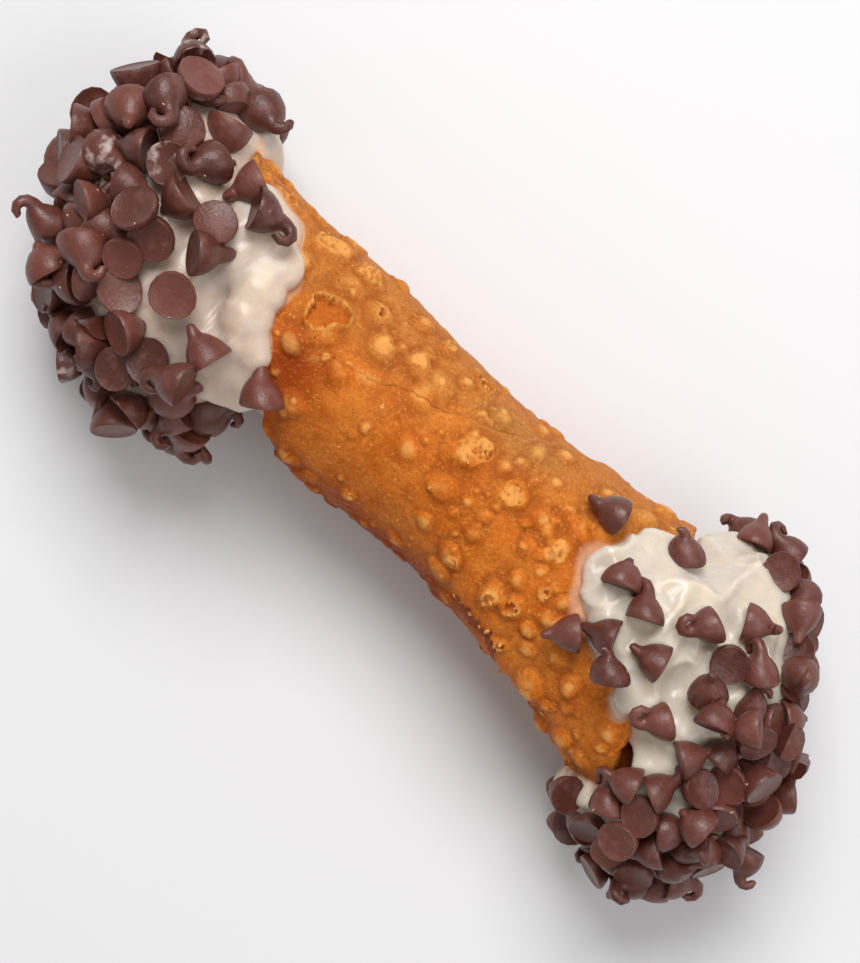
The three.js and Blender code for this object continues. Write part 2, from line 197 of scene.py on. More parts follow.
# How far from the food a chip starts: singly placed ones above it, and those of the crowd
START_ABOVE = 34
START_OUTSIDE = 16
# How far a chip can go inwards, and how near the chips are that it may meet
FARTHEST = 60
NEIGHBOURS = 26
# How far chips may stand out of the solids' box, as a share of its sides
ROOM = 0.025
# A chip's edges that turn by more degrees than this stay sharp
SHARP_ANGLE = 48

# Bare places that the crowd keeps off: X and Y in the part's frame, and radius
BARE_PLACES = {
    "left": (
        (-49.5, 20.5, 6.0), (-44, 16, 5.0), (-46.8, 24.8, 5.5), (-57.0, 12.0, 3.2), (-65.1, -0.6, 2.8),
        (-60.8, 7.2, 2.6), (-56.3, -15.6, 3.0), (-46.3, -17.9, 3.0), (-71.0, 19.4, 3.2),
    ),
    "right": ((49.9, -12.7, 5.5), (46, -15, 4.0)),
}

# The photo's view. The floor lies a little below the food, so that the two don't meet.
CAMERA = {"place": (1.92, -0.64, 374), "turn": 40.8, "lens": 85, "sensor": 36}
FLOOR_DROP = 0.4
# Lights: name, place and size in metres, and share of the main light's power
LIGHTS = (("key_light", (-0.3, 0.42, 0.8), 0.55, 1.0), ("fill_light", (0.5, 0.1, 0.6), 0.6, 0.22))


def linear(red, green, blue):
    """A colour given as 0 to 255 screen values, as light."""
    shares = [value / 255 for value in (red, green, blue)]
    return tuple(s / 12.92 if s <= 0.04045 else ((s + 0.055) / 1.055) ** 2.4 for s in shares)


def scatter(index, channel):
    """Repeatable scatter from 0 to 1."""
    wave = np.sin(index * 12.9898 + channel * 78.233) * 43758.5453
    return wave - np.floor(wave)


def smooth(low, high, value):
    """0 to 1, eased, as the value goes from low to high."""
    t = np.clip((value - low) / (high - low), 0, 1)
    return t * t * (3 - 2 * t)


def wrap(angle):
    """The same angle between -180 and 180 degrees."""
    return angle - 360 * np.round(angle / 360)


def hill(*offsets):
    """1 at a place and less round it, for offsets from the place in shares of the hill's reach."""
    return np.exp(-sum(offset**2 for offset in offsets))


def on_tube(x, radius, angle):
    """Points from places along the tube, distances from its axis and degrees from its top."""
    return np.stack((x, radius * np.sin(angle * DEGREE), radius * np.cos(angle * DEGREE)), axis=1)


def noise(points, size, seed):
    """Smooth noise from -1 to 1, its bumps about as wide as size."""
    scaled = points / size + seed * 7.31
    cell = np.floor(scaled)
    part = scaled - cell
    part = part * part * part * (part * (part * 6 - 15) + 10)
    total = np.zeros(len(points))
    for corner in np.ndindex(2, 2, 2):
        share = np.prod(np.where(corner, part, 1 - part), axis=1)
        wave = np.sin((cell + corner) @ (127.1, 311.7, 74.7) + seed * 53.3) * 43758.5453
        total += share * (wave - np.floor(wave))
    return 2 * total - 1


def fractal(points, size, seed, octaves=3, keep=0.5):
    """Noise with finer and finer detail, still from about -1 to 1."""
    total = np.zeros(len(points))
    weight = 1.0
    turned = points
    for octave in range(octaves):
        total += weight * noise(turned, size, seed + octave)
        turned = turned @ np.array(((0.8, 0.6, 0), (-0.48, 0.64, 0.6), (0.36, -0.48, 0.8)))
        size *= 0.52
        weight *= keep
    return total


# The tube's form


def plain_radius(x, angle):
    """The tube's outer radius without blisters and edges."""
    flared = RADIUS + FLARE * np.minimum(1.3, np.abs(x) / FLARE_REACH) ** 2.2
    wavy = WAVINESS * np.sin(0.13 * x + 2 * angle * DEGREE)
    away = np.abs(wrap(angle - OPENING["angle"])) / OPENING["spread"]
    opened = OPENING["widening"] * smooth(OPENING["from"], OPENING["to"], x)
    fuller = np.zeros(np.shape(x))
    for along, around, reach, spread, height in FULLER:
        fuller = fuller + height * hill((x - along) / reach, wrap(angle - around) / spread)
    return flared + wavy + fuller + opened * smooth(1, 0, away)


def flap_angle(x):
    """Where the sheet's free edge runs, in degrees from the top."""
    return FLAP["angle"] + FLAP["turn"] * x + FLAP["surge"] * smooth(0, FLAP["reach"], x)


def rim_at(rim, angle):
    """Where a slanted rim ends along the tube."""
    y = (RADIUS + FLARE) * np.sin(angle * DEGREE)
    return rim[0] + rim[1] * y + 0.7 * np.sin(5 * angle * DEGREE + rim[0])


def tuck_angle(x):
    return TUCK["angle"] - TUCK["drop"] * smooth(24, 30, x)


def tuck_height(x, angle):
    """How far the ragged tucked edge stands out, and the strip below it where shade is painted."""
    ragged = 2.2 * np.sin(1.9 * x) * np.sin(0.83 * x + 1) + 1.2 * np.sin(5.3 * x)
    inside = wrap(angle - tuck_angle(x) - ragged)
    raised = TUCK["step"] * (1 - smooth(0, TUCK["fade"], inside)) * smooth(0, 1.2, inside)
    reach = smooth(TUCK["from"], TUCK["from"] + 6, x) * smooth(TUCK["to"], TUCK["to"] - 6, x)
    tucked = np.where((inside < 0) | (inside > TUCK["fade"]), 0, raised) * reach
    return tucked, reach * (inside < 0) * (inside > -14)


def kept_share(along, around):
    """How many of the small blisters a place keeps."""
    share = 1.0
    for x, angle, reach, spread, keep in CALM:
        if ((along - x) / reach) ** 2 + (wrap(around - angle) / spread) ** 2 < 1:
            share = keep
    return share


def all_blisters():
    """Every blister as (along, around, radius, height, open, crumpled): large, small and finer ones."""
    made = list(LARGE_BLISTERS)
    rows, columns = SMALL_BLISTERS["rows"], SMALL_BLISTERS["columns"]
    for index in range(rows * columns):
        row, column = divmod(index, columns)
        along = (row - (rows - 1) / 2 + scatter(index, 3) - 0.5) * SMALL_BLISTERS["pitch"]
        around = 360 / columns * (column + scatter(index, 4))
        if scatter(index, 1) > SMALL_BLISTERS["share"] or scatter(index, 10) > kept_share(along, around):
            continue
        size = 0.6 + 0.55 * scatter(index, 2)
        radius, height = SMALL_BLISTERS["radius"] * size, SMALL_BLISTERS["height"] * size
        # Small bursts on the side that the photo doesn't show
        hidden = math.cos(around * DEGREE) < 0.2
        burst = 0.3 + 0.4 * scatter(index, 6) if hidden and scatter(index, 5) < 0.22 else 0.0
        made.append((along, around, radius, height, burst, 0.7 * scatter(index, 7)))
    rng = np.random.default_rng(FINER_BLISTERS["seed"])
    for _ in range(FINER_BLISTERS["count"]):
        along, around = rng.uniform(*FINER_BLISTERS["reach"]), rng.uniform(0, 360)
        radius = 0.55 + 1.0 * rng.random() ** 2.2
        if rng.random() <= kept_share(along, around):
            made.append((along, around, radius, 0.34 * radius, 0.0, 0.0))
    return made


def raise_blisters(x, angle, radius):
    """Height of the blisters, how far inside a burst one each point is, and a light or dark tone, with
    painted shade round each blister's foot.
    """
    height, hole, tone = np.zeros((3, len(x)))
    for number, (along, around, size, rise, burst, crumpled) in enumerate(all_blisters()):
        near = np.flatnonzero(np.abs(x - along) < size * 1.6)
        if not len(near):
            continue
        dx = x[near] - along
        dy = wrap(angle[near] - around) * DEGREE * radius[near]
        spin = np.arctan2(dy, dx)
        uneven = 1 + 0.09 * np.sin(2 * spin + number) + 0.06 * np.sin(3 * spin + 2.1 * number)
        t = np.hypot(dx, dy) / (size * uneven)
        within = t < 1.5
        near, t, spin, dx, dy = near[within], t[within], spin[within], dx[within], dy[within]
        flat = np.stack((dx, dy, 0 * dx), axis=1)
        crisp = scatter(number, 9)
        bright = 0.55 + 0.6 * scatter(number, 8)
        round_dome = np.sqrt(np.clip(1 - t * t, 0, 1)) * smooth(1.0, 0.75, t)
        dome = 1.2 * rise * (crisp * round_dome + (1 - crisp) * smooth(1.2, 0.0, t))
        tone[near] += 0.75 * bright * smooth(1.0, 0.15, t)
        # A darker ring round each blister's foot: painted shade in the hollow
        tone[near] -= 0.3 * smooth(0.85, 1.05, t) * smooth(1.6, 1.15, t) * min(1, size)
        if burst:
            ragged = 0.12 * np.sin(2 * spin + 1.7 * number) + 0.1 * np.sin(3 * spin + number)
            ragged += 0.07 * np.sin(5 * spin + 0.6 * number) + 0.05 * np.sin(11 * spin + 2.3 * number)
            ragged += 0.05 * noise(flat, 0.35, number)
            edge = burst * (1 + ragged)
            inside = smooth(edge, edge * 0.84, t)
            grain = noise(flat + (0, 0, number), 0.3 * size**0.5, number)
            # A torn blister keeps its skin, with small pits in it. An open one shows its floor.
            pits = inside * smooth(0.42, 0.6, grain)
            folds = 1 - np.abs(noise(flat, 0.5 * size**0.5, number + 3))
            torn = dome * (0.62 + 0.1 * grain + 0.4 * folds**2) - 0.8 * pits
            floor = -0.32 + 0.07 * grain
            dome = dome * (1 - inside) + inside * (crumpled * torn + (1 - crumpled) * floor)
            dome += 0.18 * hill((t - edge) / 0.07) * (t > edge * 0.95)
            hole[near] = np.maximum(hole[near], inside * (1 - crumpled) + pits * crumpled)
            tone[near] += 0.45 * hill((t - edge * 1.06) / 0.1) + 0.4 * crumpled * inside
            tone[near] -= 0.5 * inside * (1 - crumpled)
            height[near] = np.where(inside > 0.02, dome, np.maximum(height[near], dome))
        else:
            if crumpled:
                dome *= 1 - 0.2 * crumpled * np.abs(np.sin(dx * 2.4 + dy * 1.7 + number))
            height[near] = np.maximum(height[near], dome)
    return height, hole, np.clip(tone, -1, 1)


# Mesh helpers


def start_object(name):
    """The object that a primitive has just made, alone and named."""
    made = bpy.context.active_object
    made.name = made.data.name = name
    return made


def deselect():
    if bpy.context.mode != "OBJECT":
        bpy.ops.object.mode_set(mode="OBJECT")
    bpy.ops.object.select_all(action="DESELECT")


def choose(made):
    deselect()
    made.select_set(True)
    bpy.context.view_layer.objects.active = made


def points_of(made, kind="co"):
    """A mesh's points, or with "normal" the way that each one faces."""
    points = np.empty(len(made.data.vertices) * 3)
    made.data.vertices.foreach_get(kind, points)
    return points.reshape(-1, 3)


def set_points(made, points):
    made.data.vertices.foreach_set("co", np.ascontiguousarray(points).ravel())
    made.data.update()


def to_part(points):
    """From millimetres in the tube's frame to metres in the part's frame."""
    return (points + TUBE_PLACE) * MM


def tube_points(made):
    """A finished piece's points in millimetres in the tube's frame."""
    return points_of(made) / MM - TUBE_PLACE


def place_in_part(made):
    """Moves a piece that was made in the tube's frame to its place in the part."""
    set_points(made, to_part(points_of(made)))


def store(made, name, values):
    """Keeps one number for each point, which the shaders read by its name."""
    layer = made.data.attributes.new(name, "FLOAT", "POINT")
    layer.data.foreach_set("value", np.ascontiguousarray(values, dtype=np.float32))


def apply_modifier(made, kind, **settings):
    choose(made)
    modifier = made.modifiers.new(kind.title(), kind)
    for name, value in settings.items():
        setattr(modifier, name, value)
    bpy.ops.object.modifier_apply(modifier=modifier.name)


def edit_mesh(made, change, **settings):
    """Runs one of Blender's mesh operators on the whole of a piece."""
    choose(made)
    bpy.ops.object.mode_set(mode="EDIT")
    bpy.ops.mesh.select_all(action="SELECT")
    change(**settings)
    bpy.ops.object.mode_set(mode="OBJECT")


def face_outwards(made):
    edit_mesh(made, bpy.ops.mesh.normals_make_consistent, inside=False)


def give(made, material, slot, *nodes):
    """Dresses a finished piece, hangs it on the root body and hides the solids that it replaces."""
    made.data.materials.clear()
    made.data.materials.append(material)
    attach(made, "root")
    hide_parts(*nodes)


# Shader helpers


class Value:
    """A shader output that Python arithmetic can be written with."""

    def __init__(self, shader, socket):
        self.shader = shader
        self.socket = socket

    def maths(self, operation, *values):
        return self.shader.node("ShaderNodeMath", {"operation": operation}, dict(enumerate(values)))

    def __add__(self, other):
        return self.maths("ADD", self, other)

    def __sub__(self, other):
        return self.maths("SUBTRACT", self, other)

    def __rsub__(self, other):
        return self.maths("SUBTRACT", other, self)

    def __mul__(self, other):
        return self.maths("MULTIPLY", self, other)


class Shader:
    """One material: its nodes, and the few shapes of node that the looks need."""

    def __init__(self, name):
        self.material = bpy.data.materials.new(name)
        self.material.use_nodes = True
        self.tree = self.material.node_tree
        self.surface = self.tree.nodes["Principled BSDF"]
        place = self.node("ShaderNodeTexCoord", {}, {}, "Object")
        # Texture sizes are given in millimetres
        self.place = self.node("ShaderNodeVectorMath", {"operation": "SCALE"}, {0: place, "Scale": 1000.0})

    def node(self, kind, settings, values, output=0):
        made = self.tree.nodes.new(kind)
        for name, value in settings.items():
            setattr(made, name, value)
        for name, value in values.items():
            if isinstance(value, Value):
                self.tree.links.new(value.socket, made.inputs[name])
            else:
                made.inputs[name].default_value = value
        return Value(self, made.outputs[output])

    def noise(self, size, detail=3.0, roughness=0.55, place=None):
        """Noise around 0.5 with bumps of about the given size in millimetres."""
        values = {"Scale": 1 / size, "Detail": detail, "Roughness": roughness}
        values["Vector"] = place or self.place
        return self.node("ShaderNodeTexNoise", {}, values, "Fac")

    def cells(self, size, feature="F1", place=None):
        """Distance to the nearest point of a scatter, in steps of the given size."""
        values = {"Vector": place or self.place, "Scale": 1 / size}
        return self.node("ShaderNodeTexVoronoi", {"feature": feature}, values, "Distance")

    def ramp(self, value, low, high, to_low=0.0, to_high=1.0):
        """Value eased from one range to another and held at its ends."""
        values = {0: value, 1: low, 2: high, 3: to_low, 4: to_high}
        return self.node("ShaderNodeMapRange", {"interpolation_type": "SMOOTHSTEP"}, values)

    def mix(self, factor, first, second):
        values = {0: factor}
        for index, colour in ((6, first), (7, second)):
            values[index] = colour if isinstance(colour, Value) else (*colour[:3], 1.0)
        return self.node("ShaderNodeMix", {"data_type": "RGBA"}, values, 2)

    def layers(self, base, *coats):
        """Colours laid over a first one, each as its amount and the colour."""
        for amount, colour in coats:
            base = self.mix(amount, base, colour)
        return base

    def attribute(self, name):
        return self.node("ShaderNodeAttribute", {"attribute_name": name}, {}, "Fac")

    def bump(self, height, strength):
        """A bumped normal, with the height in millimetres."""
        return self.node("ShaderNodeBump", {}, {"Height": height, "Distance": MM, "Strength": strength})

    def set(self, **inputs):
        """Sets the surface shader's inputs, named with underscores for spaces."""
        for name, value in inputs.items():
            socket = self.surface.inputs[name.replace("_", " ")]
            if isinstance(value, Value):
                self.tree.links.new(value.socket, socket)
            elif socket.type == "RGBA":
                socket.default_value = (*value[:3], 1.0)
            else:
                socket.default_value = value
        return self.material


def pastry_material(colours):
    s = Shader("fried pastry")
    toast_and_painted_light, hole, painted_shade = s.attribute("toast_and_painted_light"), s.attribute("hole"), s.attribute("painted_shade")
    patches = s.noise(9.0, 3.0, 0.6)
    blotches = s.noise(2.4, 4.0, 0.65)
    grain = s.noise(0.5, 3.0, 0.7)
    fine = s.noise(0.22, 2.0, 0.6)
    streaks = s.ramp(s.noise(5.5, 3.0, 0.6), 0.48, 0.66)
    # Darker crust from grain and low tone, with the painted shade round the blisters' feet, in small dips
    # and in the crease
    low = s.ramp(toast_and_painted_light + (grain - 0.5) * 0.5, 0.05, -0.75)
    # Paler crust on blister tops, with the painted highlight on the welt
    high = s.ramp(toast_and_painted_light + (blotches - 0.5) * 0.7, 0.12, 0.85)
    dots = s.ramp(s.cells(1.7), 0.13, 0.07) * s.ramp(s.noise(5.0, 2.0), 0.5, 0.6)
    moved = s.node("ShaderNodeVectorMath", {}, {0: s.place, 1: (31.0, 7.0, 13.0)})
    flecks = s.ramp(s.cells(1.25, place=moved), 0.14, 0.08) * s.ramp(s.noise(6.0, 2.0), 0.5, 0.62)
    base = s.layers(
        s.mix(s.ramp(patches, 0.4, 0.62), colours.crust, colours.crust_bright),
        (streaks * 0.27, colours.crust_deep),
        (s.attribute("tan") * s.ramp(blotches, 0.2, 0.7, 0.55, 1.0), colours.crust_tan),
        # Painted shade: the lower side, below the welt, under the ragged edge and inside the tube
        (painted_shade, colours.crust_deep),
        (low * 0.75, colours.crust_dark),
        (high * 0.85, colours.crust_pale),
        (s.ramp(blotches, 0.5, 0.7) * 0.3, colours.crust_dark),
        (s.ramp(grain, 0.52, 0.66) * (0.5 - high * 0.4), colours.crust_dark),
        (s.ramp(grain, 0.46, 0.34) * 0.4, colours.crust_pale),
        # More of the same painted shade
        (painted_shade * 0.5, colours.crust_deep),
        (hole * 0.85, colours.crust_inside),
        (hole * s.ramp(grain, 0.5, 0.65) * 0.5, colours.crust_dark),
        # Painted shadow along the free edge
        (s.attribute("edge_shadow"), colours.crust_deep),
        (s.attribute("wet") * 0.6, colours.cream_stained),
        (dots * 0.75, colours.crust_char),
        (flecks * 0.7, colours.crust_fleck),
    )
    relief = (grain - 0.5) * 0.22 + (fine - 0.5) * 0.12 + (blotches - 0.5) * 0.18
    return s.set(
        Base_Color=base,
        Roughness=s.ramp(blotches, 0.3, 0.7, 0.45, 0.62),
        Normal=s.bump(relief, 0.8),
        Specular_IOR_Level=0.1,
        Subsurface_Weight=0.12,
        Subsurface_Radius=(1.0, 0.45, 0.15),
        Subsurface_Scale=1.2 * MM,
    )


def cream_material(colours):
    s = Shader("ricotta cream")
    curds = s.noise(1.3, 3.0, 0.6)
    stretched = s.node("ShaderNodeVectorMath", {"operation": "MULTIPLY"}, {0: s.place, 1: (1.0, 0.35, 0.8)})
    streaks = s.noise(2.6, 3.0, 0.6, stretched)
    fine = s.noise(0.45, 2.0, 0.6)
    base = s.layers(
        s.mix(s.attribute("side"), colours.cream_left, colours.cream_right),
        (s.ramp(s.noise(8.0, 2.0), 0.4, 0.7) * 0.5, colours.cream_cool),
        (s.ramp(streaks, 0.5, 0.7) * 0.45, colours.cream_warm),
        (s.attribute("smeared") * 0.6, colours.cream_stained),
    )
    relief = (curds - 0.5) * 0.16 + (fine - 0.5) * 0.05
    return s.set(
        Base_Color=base,
        Roughness=s.ramp(streaks, 0.3, 0.7, 0.24, 0.42),
        Normal=s.bump(relief, 0.5),
        Subsurface_Weight=0.6,
        Subsurface_Radius=(1.0, 0.75, 0.55),
        Subsurface_Scale=3.5 * MM,
        Specular_IOR_Level=0.45,
        Coat_Weight=0.15,
        Coat_Roughness=0.2,
    )


def chocolate_material(colours):
    s = Shader("chocolate")
    clouds = s.noise(2.6, 3.0, 0.6)
    grain = s.noise(0.5, 3.0, 0.6)
    dust = s.ramp(s.cells(0.9), 0.12, 0.05) * s.ramp(s.noise(4.0, 2.0), 0.47, 0.62)
    wet_edge = s.ramp(s.attribute("near") + (s.noise(1.6, 2.0) - 0.5) * 1.1, 0.28, 0.12)
    streak = s.ramp(s.noise(2.6, 3.0), 0.5, 0.68) * s.attribute("dipped") * 0.75
    base = s.layers(
        s.mix(s.attribute("tint"), colours.chocolate_dark, colours.chocolate),
        (s.ramp(clouds, 0.45, 0.75) * 0.55, colours.chocolate_bloom),
        (dust * 0.6, colours.chocolate_dust),
        (wet_edge.maths("MAXIMUM", wet_edge, streak), colours.cream_smear),
    )
    scratched = s.ramp(s.noise(3.0, 2.0), 0.44, 0.56, 1.0, 0.0)
    scratches = s.ramp(s.cells(1.5, "DISTANCE_TO_EDGE"), 0.0, 0.03) * scratched
    relief = (grain - 0.5) * 0.14 + (clouds - 0.5) * 0.16 + scratches * 0.025
    return s.set(
        Base_Color=base,
        Roughness=s.ramp(clouds, 0.3, 0.75, 0.33, 0.5),
        Normal=s.bump(relief, 0.6),
        Specular_IOR_Level=0.5,
        Subsurface_Weight=0.05,
        Subsurface_Radius=(1.0, 0.5, 0.35),
        Subsurface_Scale=0.8 * MM,
    )


# The pieces


def tree_of(pieces):
    """The surfaces of some pieces, for finding what is nearest or in the way, in the tube's frame."""
    points, faces = [], []
    for piece in pieces:
        first = sum(len(each) for each in points)
        points.append(tube_points(piece))
        faces.extend([tuple(first + i for i in face.vertices) for face in piece.data.polygons])
    return BVHTree.FromPolygons([Vector(point) for point in np.vstack(points)], faces)


def distances(tree, points, most):
    """How far each point is from a surface, up to the given distance."""
    return np.array([tree.find_nearest(Vector(point), most)[3] or most for point in points])


def swelling_axes(outward):
    """A swelling's own axes: outwards, sideways and up."""
    out = np.array((math.cos(outward * DEGREE), math.sin(outward * DEGREE), 0.0))
    up = np.array((0.0, 0.0, 1.0))
    return np.array((out, np.cross(up, out), up))


def reach_of(swelling, directions):
    """How far a swelling's surface is from its centre, for directions on its own axes."""
    out, side, up = directions.T
    power = swelling["power"]
    total = (np.abs(out) / np.where(out > 0, swelling["outer"], swelling["inner"])) ** power
    total += np.abs(side / np.where(side > 0, *swelling["sides"])) ** power
    total += np.abs(up / swelling["rise"]) ** power
    lumps = 0.03 * np.sin(3.1 * side + 2.3 * up + swelling["outward"]) * np.cos(2.7 * out + 1.9 * up)
    return total ** (-1 / power) * (1 + lumps)


def add_ball(name, place, segments=48, rings=32):
    """A sphere whose points are moved by a function of their directions."""
    deselect()
    bpy.ops.mesh.primitive_uv_sphere_add(segments=segments, ring_count=rings, radius=1)
    made = start_object(name)
    directions = points_of(made)
    set_points(made, place(directions / np.linalg.norm(directions, axis=1)[:, None]))
    return made


def join(made, name):
    deselect()
    for piece in made:
        piece.select_set(True)
    bpy.context.view_layer.objects.active = made[0]
    bpy.ops.object.join()
    return start_object(name)


def add_shell_grid(sizes):
    """A flat grid for the tube. Each point gets its share of the way along, its depth in the wall, its
    degrees from the sheet's free edge, and whether it is on the last column."""
    across, along = sizes.shell_columns, sizes.shell_rows
    # Columns follow the free edge of the rolled sheet: they start tucked under it and end on it
    turns = np.concatenate((np.linspace(-3.0, 359.2, across - 2), (360.0, 359.0)))
    # Rows run along the outside, round the right rim, back along the inside and round the left rim
    outside, inside = np.linspace(0, 1, along), np.linspace(1, 0, INNER_ROWS)
    shares = np.concatenate((outside, np.ones(RIM_ROWS), inside, np.zeros(RIM_ROWS)))
    rim = np.arange(1, RIM_ROWS + 1) / (RIM_ROWS + 1)
    side = np.concatenate((np.zeros(along), rim, np.ones(INNER_ROWS), 1 - rim))
    rows = len(shares)
    deselect()
    bpy.ops.mesh.primitive_grid_add(x_subdivisions=rows, y_subdivisions=across, size=1)
    made = start_object("pastry_shell")
    # The grid's own coordinates tell each point's row and column
    flat = points_of(made)
    row = np.rint((flat[:, 0] + 0.5) * rows).astype(int) % rows
    column = np.rint((flat[:, 1] + 0.5) * across).astype(int) % across
    return made, shares[row], side[row], turns[column], column == across - 1


def mark_zones(made, x, angle, shade_under_tuck, inside):
    """Marks the duller, tan side of the shell, and the painted shade on it."""
    from_top = wrap(angle)
    # The tan side is wider to the left
    to_left = smooth(8, -14, x)
    tan = smooth(16 - 12 * to_left, 52 - 22 * to_left, from_top) * smooth(100, 75, from_top)
    dull = hill((x - 8) / 11, (from_top - 44) / 19)
    store(made, "tan", np.maximum(tan * 0.7, np.clip(1.5 * dull, 0, 1.2)))
    # Painted shade in deep red-brown: below the welt near the left end, along the lower side that faces
    # away from the light, under the ragged edge and inside the tube
    dark = 0.85 * hill((x + 25) / 5.5, wrap(angle + 13) / 17)
    warm = 0.24 * hill((x + 12) / 17, wrap(angle + 38) / 28)
    lower = smooth(-42, -84, from_top) * smooth(-170, -120, from_top) * smooth(34, 14, x)
    lower *= 0.4 + 0.5 * hill((x - 6) / 15)
    deepest = np.maximum.reduce((dark, warm, lower, 0.8 * shade_under_tuck))
    store(made, "painted_shade", np.clip(deepest + 0.5 * inside, 0, 1))


def make_shell(sizes, colours):
    """The pastry tube as a fine grid round and along it, raised by its blisters, edges and grain."""
    made, share, depth, turn, last = add_shell_grid(sizes)
    # Places along the tube and round it depend on each other, so they are found step by step
    x = LEFT_RIM[0] + (RIGHT_RIM[0] - LEFT_RIM[0]) * share
    for _ in range(16):
        wobble = 1.3 * np.sin(0.61 * x + 1) + 0.8 * np.sin(1.9 * x) * np.sin(0.7 * x)
        angle = flap_angle(x) + turn + wobble
        low, high = rim_at(LEFT_RIM, angle), rim_at(RIGHT_RIM, angle)
        x = 0.4 * x + 0.6 * (low + (high - low) * share)
    plain = plain_radius(x, angle)
    ring = on_tube(x, plain, angle)
    # The sheet's free edge stands off more in some places than in others
    lift = 0.62 + 0.38 * noise(np.stack((x, x * 0, x * 0), axis=1), 7.0, 3)
    # At the left end the edge is welded to the layer below
    free = smooth(-27, -13, x)
    lift *= 0.1 + 0.9 * free
    back = np.maximum(0, 360 - turn)
    overlap = FLAP["step"] * lift * (1 - smooth(0, FLAP["fade"], back)) * (back < FLAP["fade"])
    # The edge itself is rounded off
    overlap *= 1 - 0.5 * hill(back / 1.6)
    tucked, shade_under_tuck = tuck_height(x, angle)
    height, hole, tone = raise_blisters(x, angle, plain)
    height *= np.where(turn < 0, 1 - free, 1)
    rough = 0.16 * fractal(ring, 3.4, 11, 3) + 0.05 * noise(ring, 0.9, 17)
    granular = smooth(5, 60, turn) * smooth(150, 90, turn)
    rough += granular * 0.09 * fractal(ring, 1.3, 23, 2)
    # The tops of the blisters are smoother
    rough *= 1 - 0.6 * np.clip(tone, 0, 1)
    # A low welt where the edge is welded down. Its tone is raised: a painted highlight on the welt's lit
    # top.
    welt = hill(np.minimum(back, np.abs(turn)) / 6) * smooth(-8, -16, x)
    welt *= 0.7 + 0.3 * noise(ring, 2.5, 29)
    tone = np.clip(tone + 0.7 * welt, -1, 1)
    outer = plain + np.maximum(overlap, tucked) + 0.3 * welt + height + rough
    outer -= np.where(turn < 0, 0.05 + 0.2 * free, 0)
    # The last column is the underside of the free edge
    outer -= np.where(last, overlap + 0.1, 0)
    worn = 0.35 * noise(ring, 1.1, 31) + 0.5 * noise(ring, 3.0, 37)
    near_rim = np.maximum(smooth(0.012, 0, share), smooth(0.988, 1, share))
    inner = plain - WALL + 0.15 * noise(ring, 2.5, 41)
    radius = outer + (inner - outer) * depth
    bulge = np.sin(depth * math.pi) * np.where(depth < 1, 0.35, 0)
    x = x + near_rim * worn + np.where(share > 0.5, bulge, -bulge)
    set_points(made, to_part(on_tube(x, radius, angle)))
    mark_zones(made, x, angle, shade_under_tuck, depth > 0.9)
    # Painted shade for a second crease beside the free edge, near the right end, which has no relief; and
    # painted shade in the small dips of the rough surface
    crease = hill((wrap(angle) - 18 + 0.03 * (x - 14) ** 2) / 3.5) * smooth(6, 10, x) * smooth(29, 24, x)
    store(made, "toast_and_painted_light", tone - 0.5 * crease - 0.35 * np.clip(-rough * 6, 0, 1))
    store(made, "hole", hole)
    # Painted shadow along the sheet's free edge and on its underside, in deep red-brown
    edge_shadow = np.where((turn < 0.9) & (turn > -4), lift, 0) + np.where(last, 1, 0)
    edge_shadow *= smooth(6, -8, x) * smooth(-26, -15, x)
    store(made, "edge_shadow", np.clip(edge_shadow, 0, 1) * 0.35)
    edit_mesh(made, bpy.ops.mesh.remove_doubles, threshold=0.01 * MM)
    face_outwards(made)
    bpy.ops.object.shade_smooth()
    ply = add_ball("ply", inner_end_point, 32, 24)
    place_in_part(ply)
    # A little painted shade on the fold of pastry in the gap
    store(ply, "painted_shade", np.full(len(ply.data.vertices), 0.1))
    bpy.ops.object.shade_smooth()
    made = join((made, ply), "pastry_shell")
    give(made, pastry_material(colours), "pastry", "shell")


def oval_point(oval, directions):
    return np.array(oval["centre"]) + directions * np.array(oval["half"])


def inner_end_point(directions):
    """A fold of pastry with an uneven top."""
    points = oval_point(INNER_END, directions)
    return points + directions * (0.7 * fractal(points, 3.0, 81, 2))[:, None]


def swelling_point(swelling, directions):
    axes = swelling_axes(swelling["outward"])
    own = directions @ axes.T
    return np.array(swelling["centre"]) + (own * reach_of(swelling, own)[:, None]) @ axes


def lobe_point(centre, outward, half, directions):
    axes = swelling_axes(outward)
    return np.array(centre) + ((directions @ axes.T) * np.array(half)) @ axes


def lip_point(lip, directions):
    """A flat drop of cream lying on the shell."""
    along, around, half_x, half_turn = lip
    radius = float(plain_radius(np.array([along]), np.array([around]))[0]) + 0.5
    spread = half_turn * directions[:, 1] / radius / DEGREE
    height = radius + LIP_THICKNESS * directions[:, 2]
    return on_tube(along + half_x * directions[:, 0], height, around + spread)


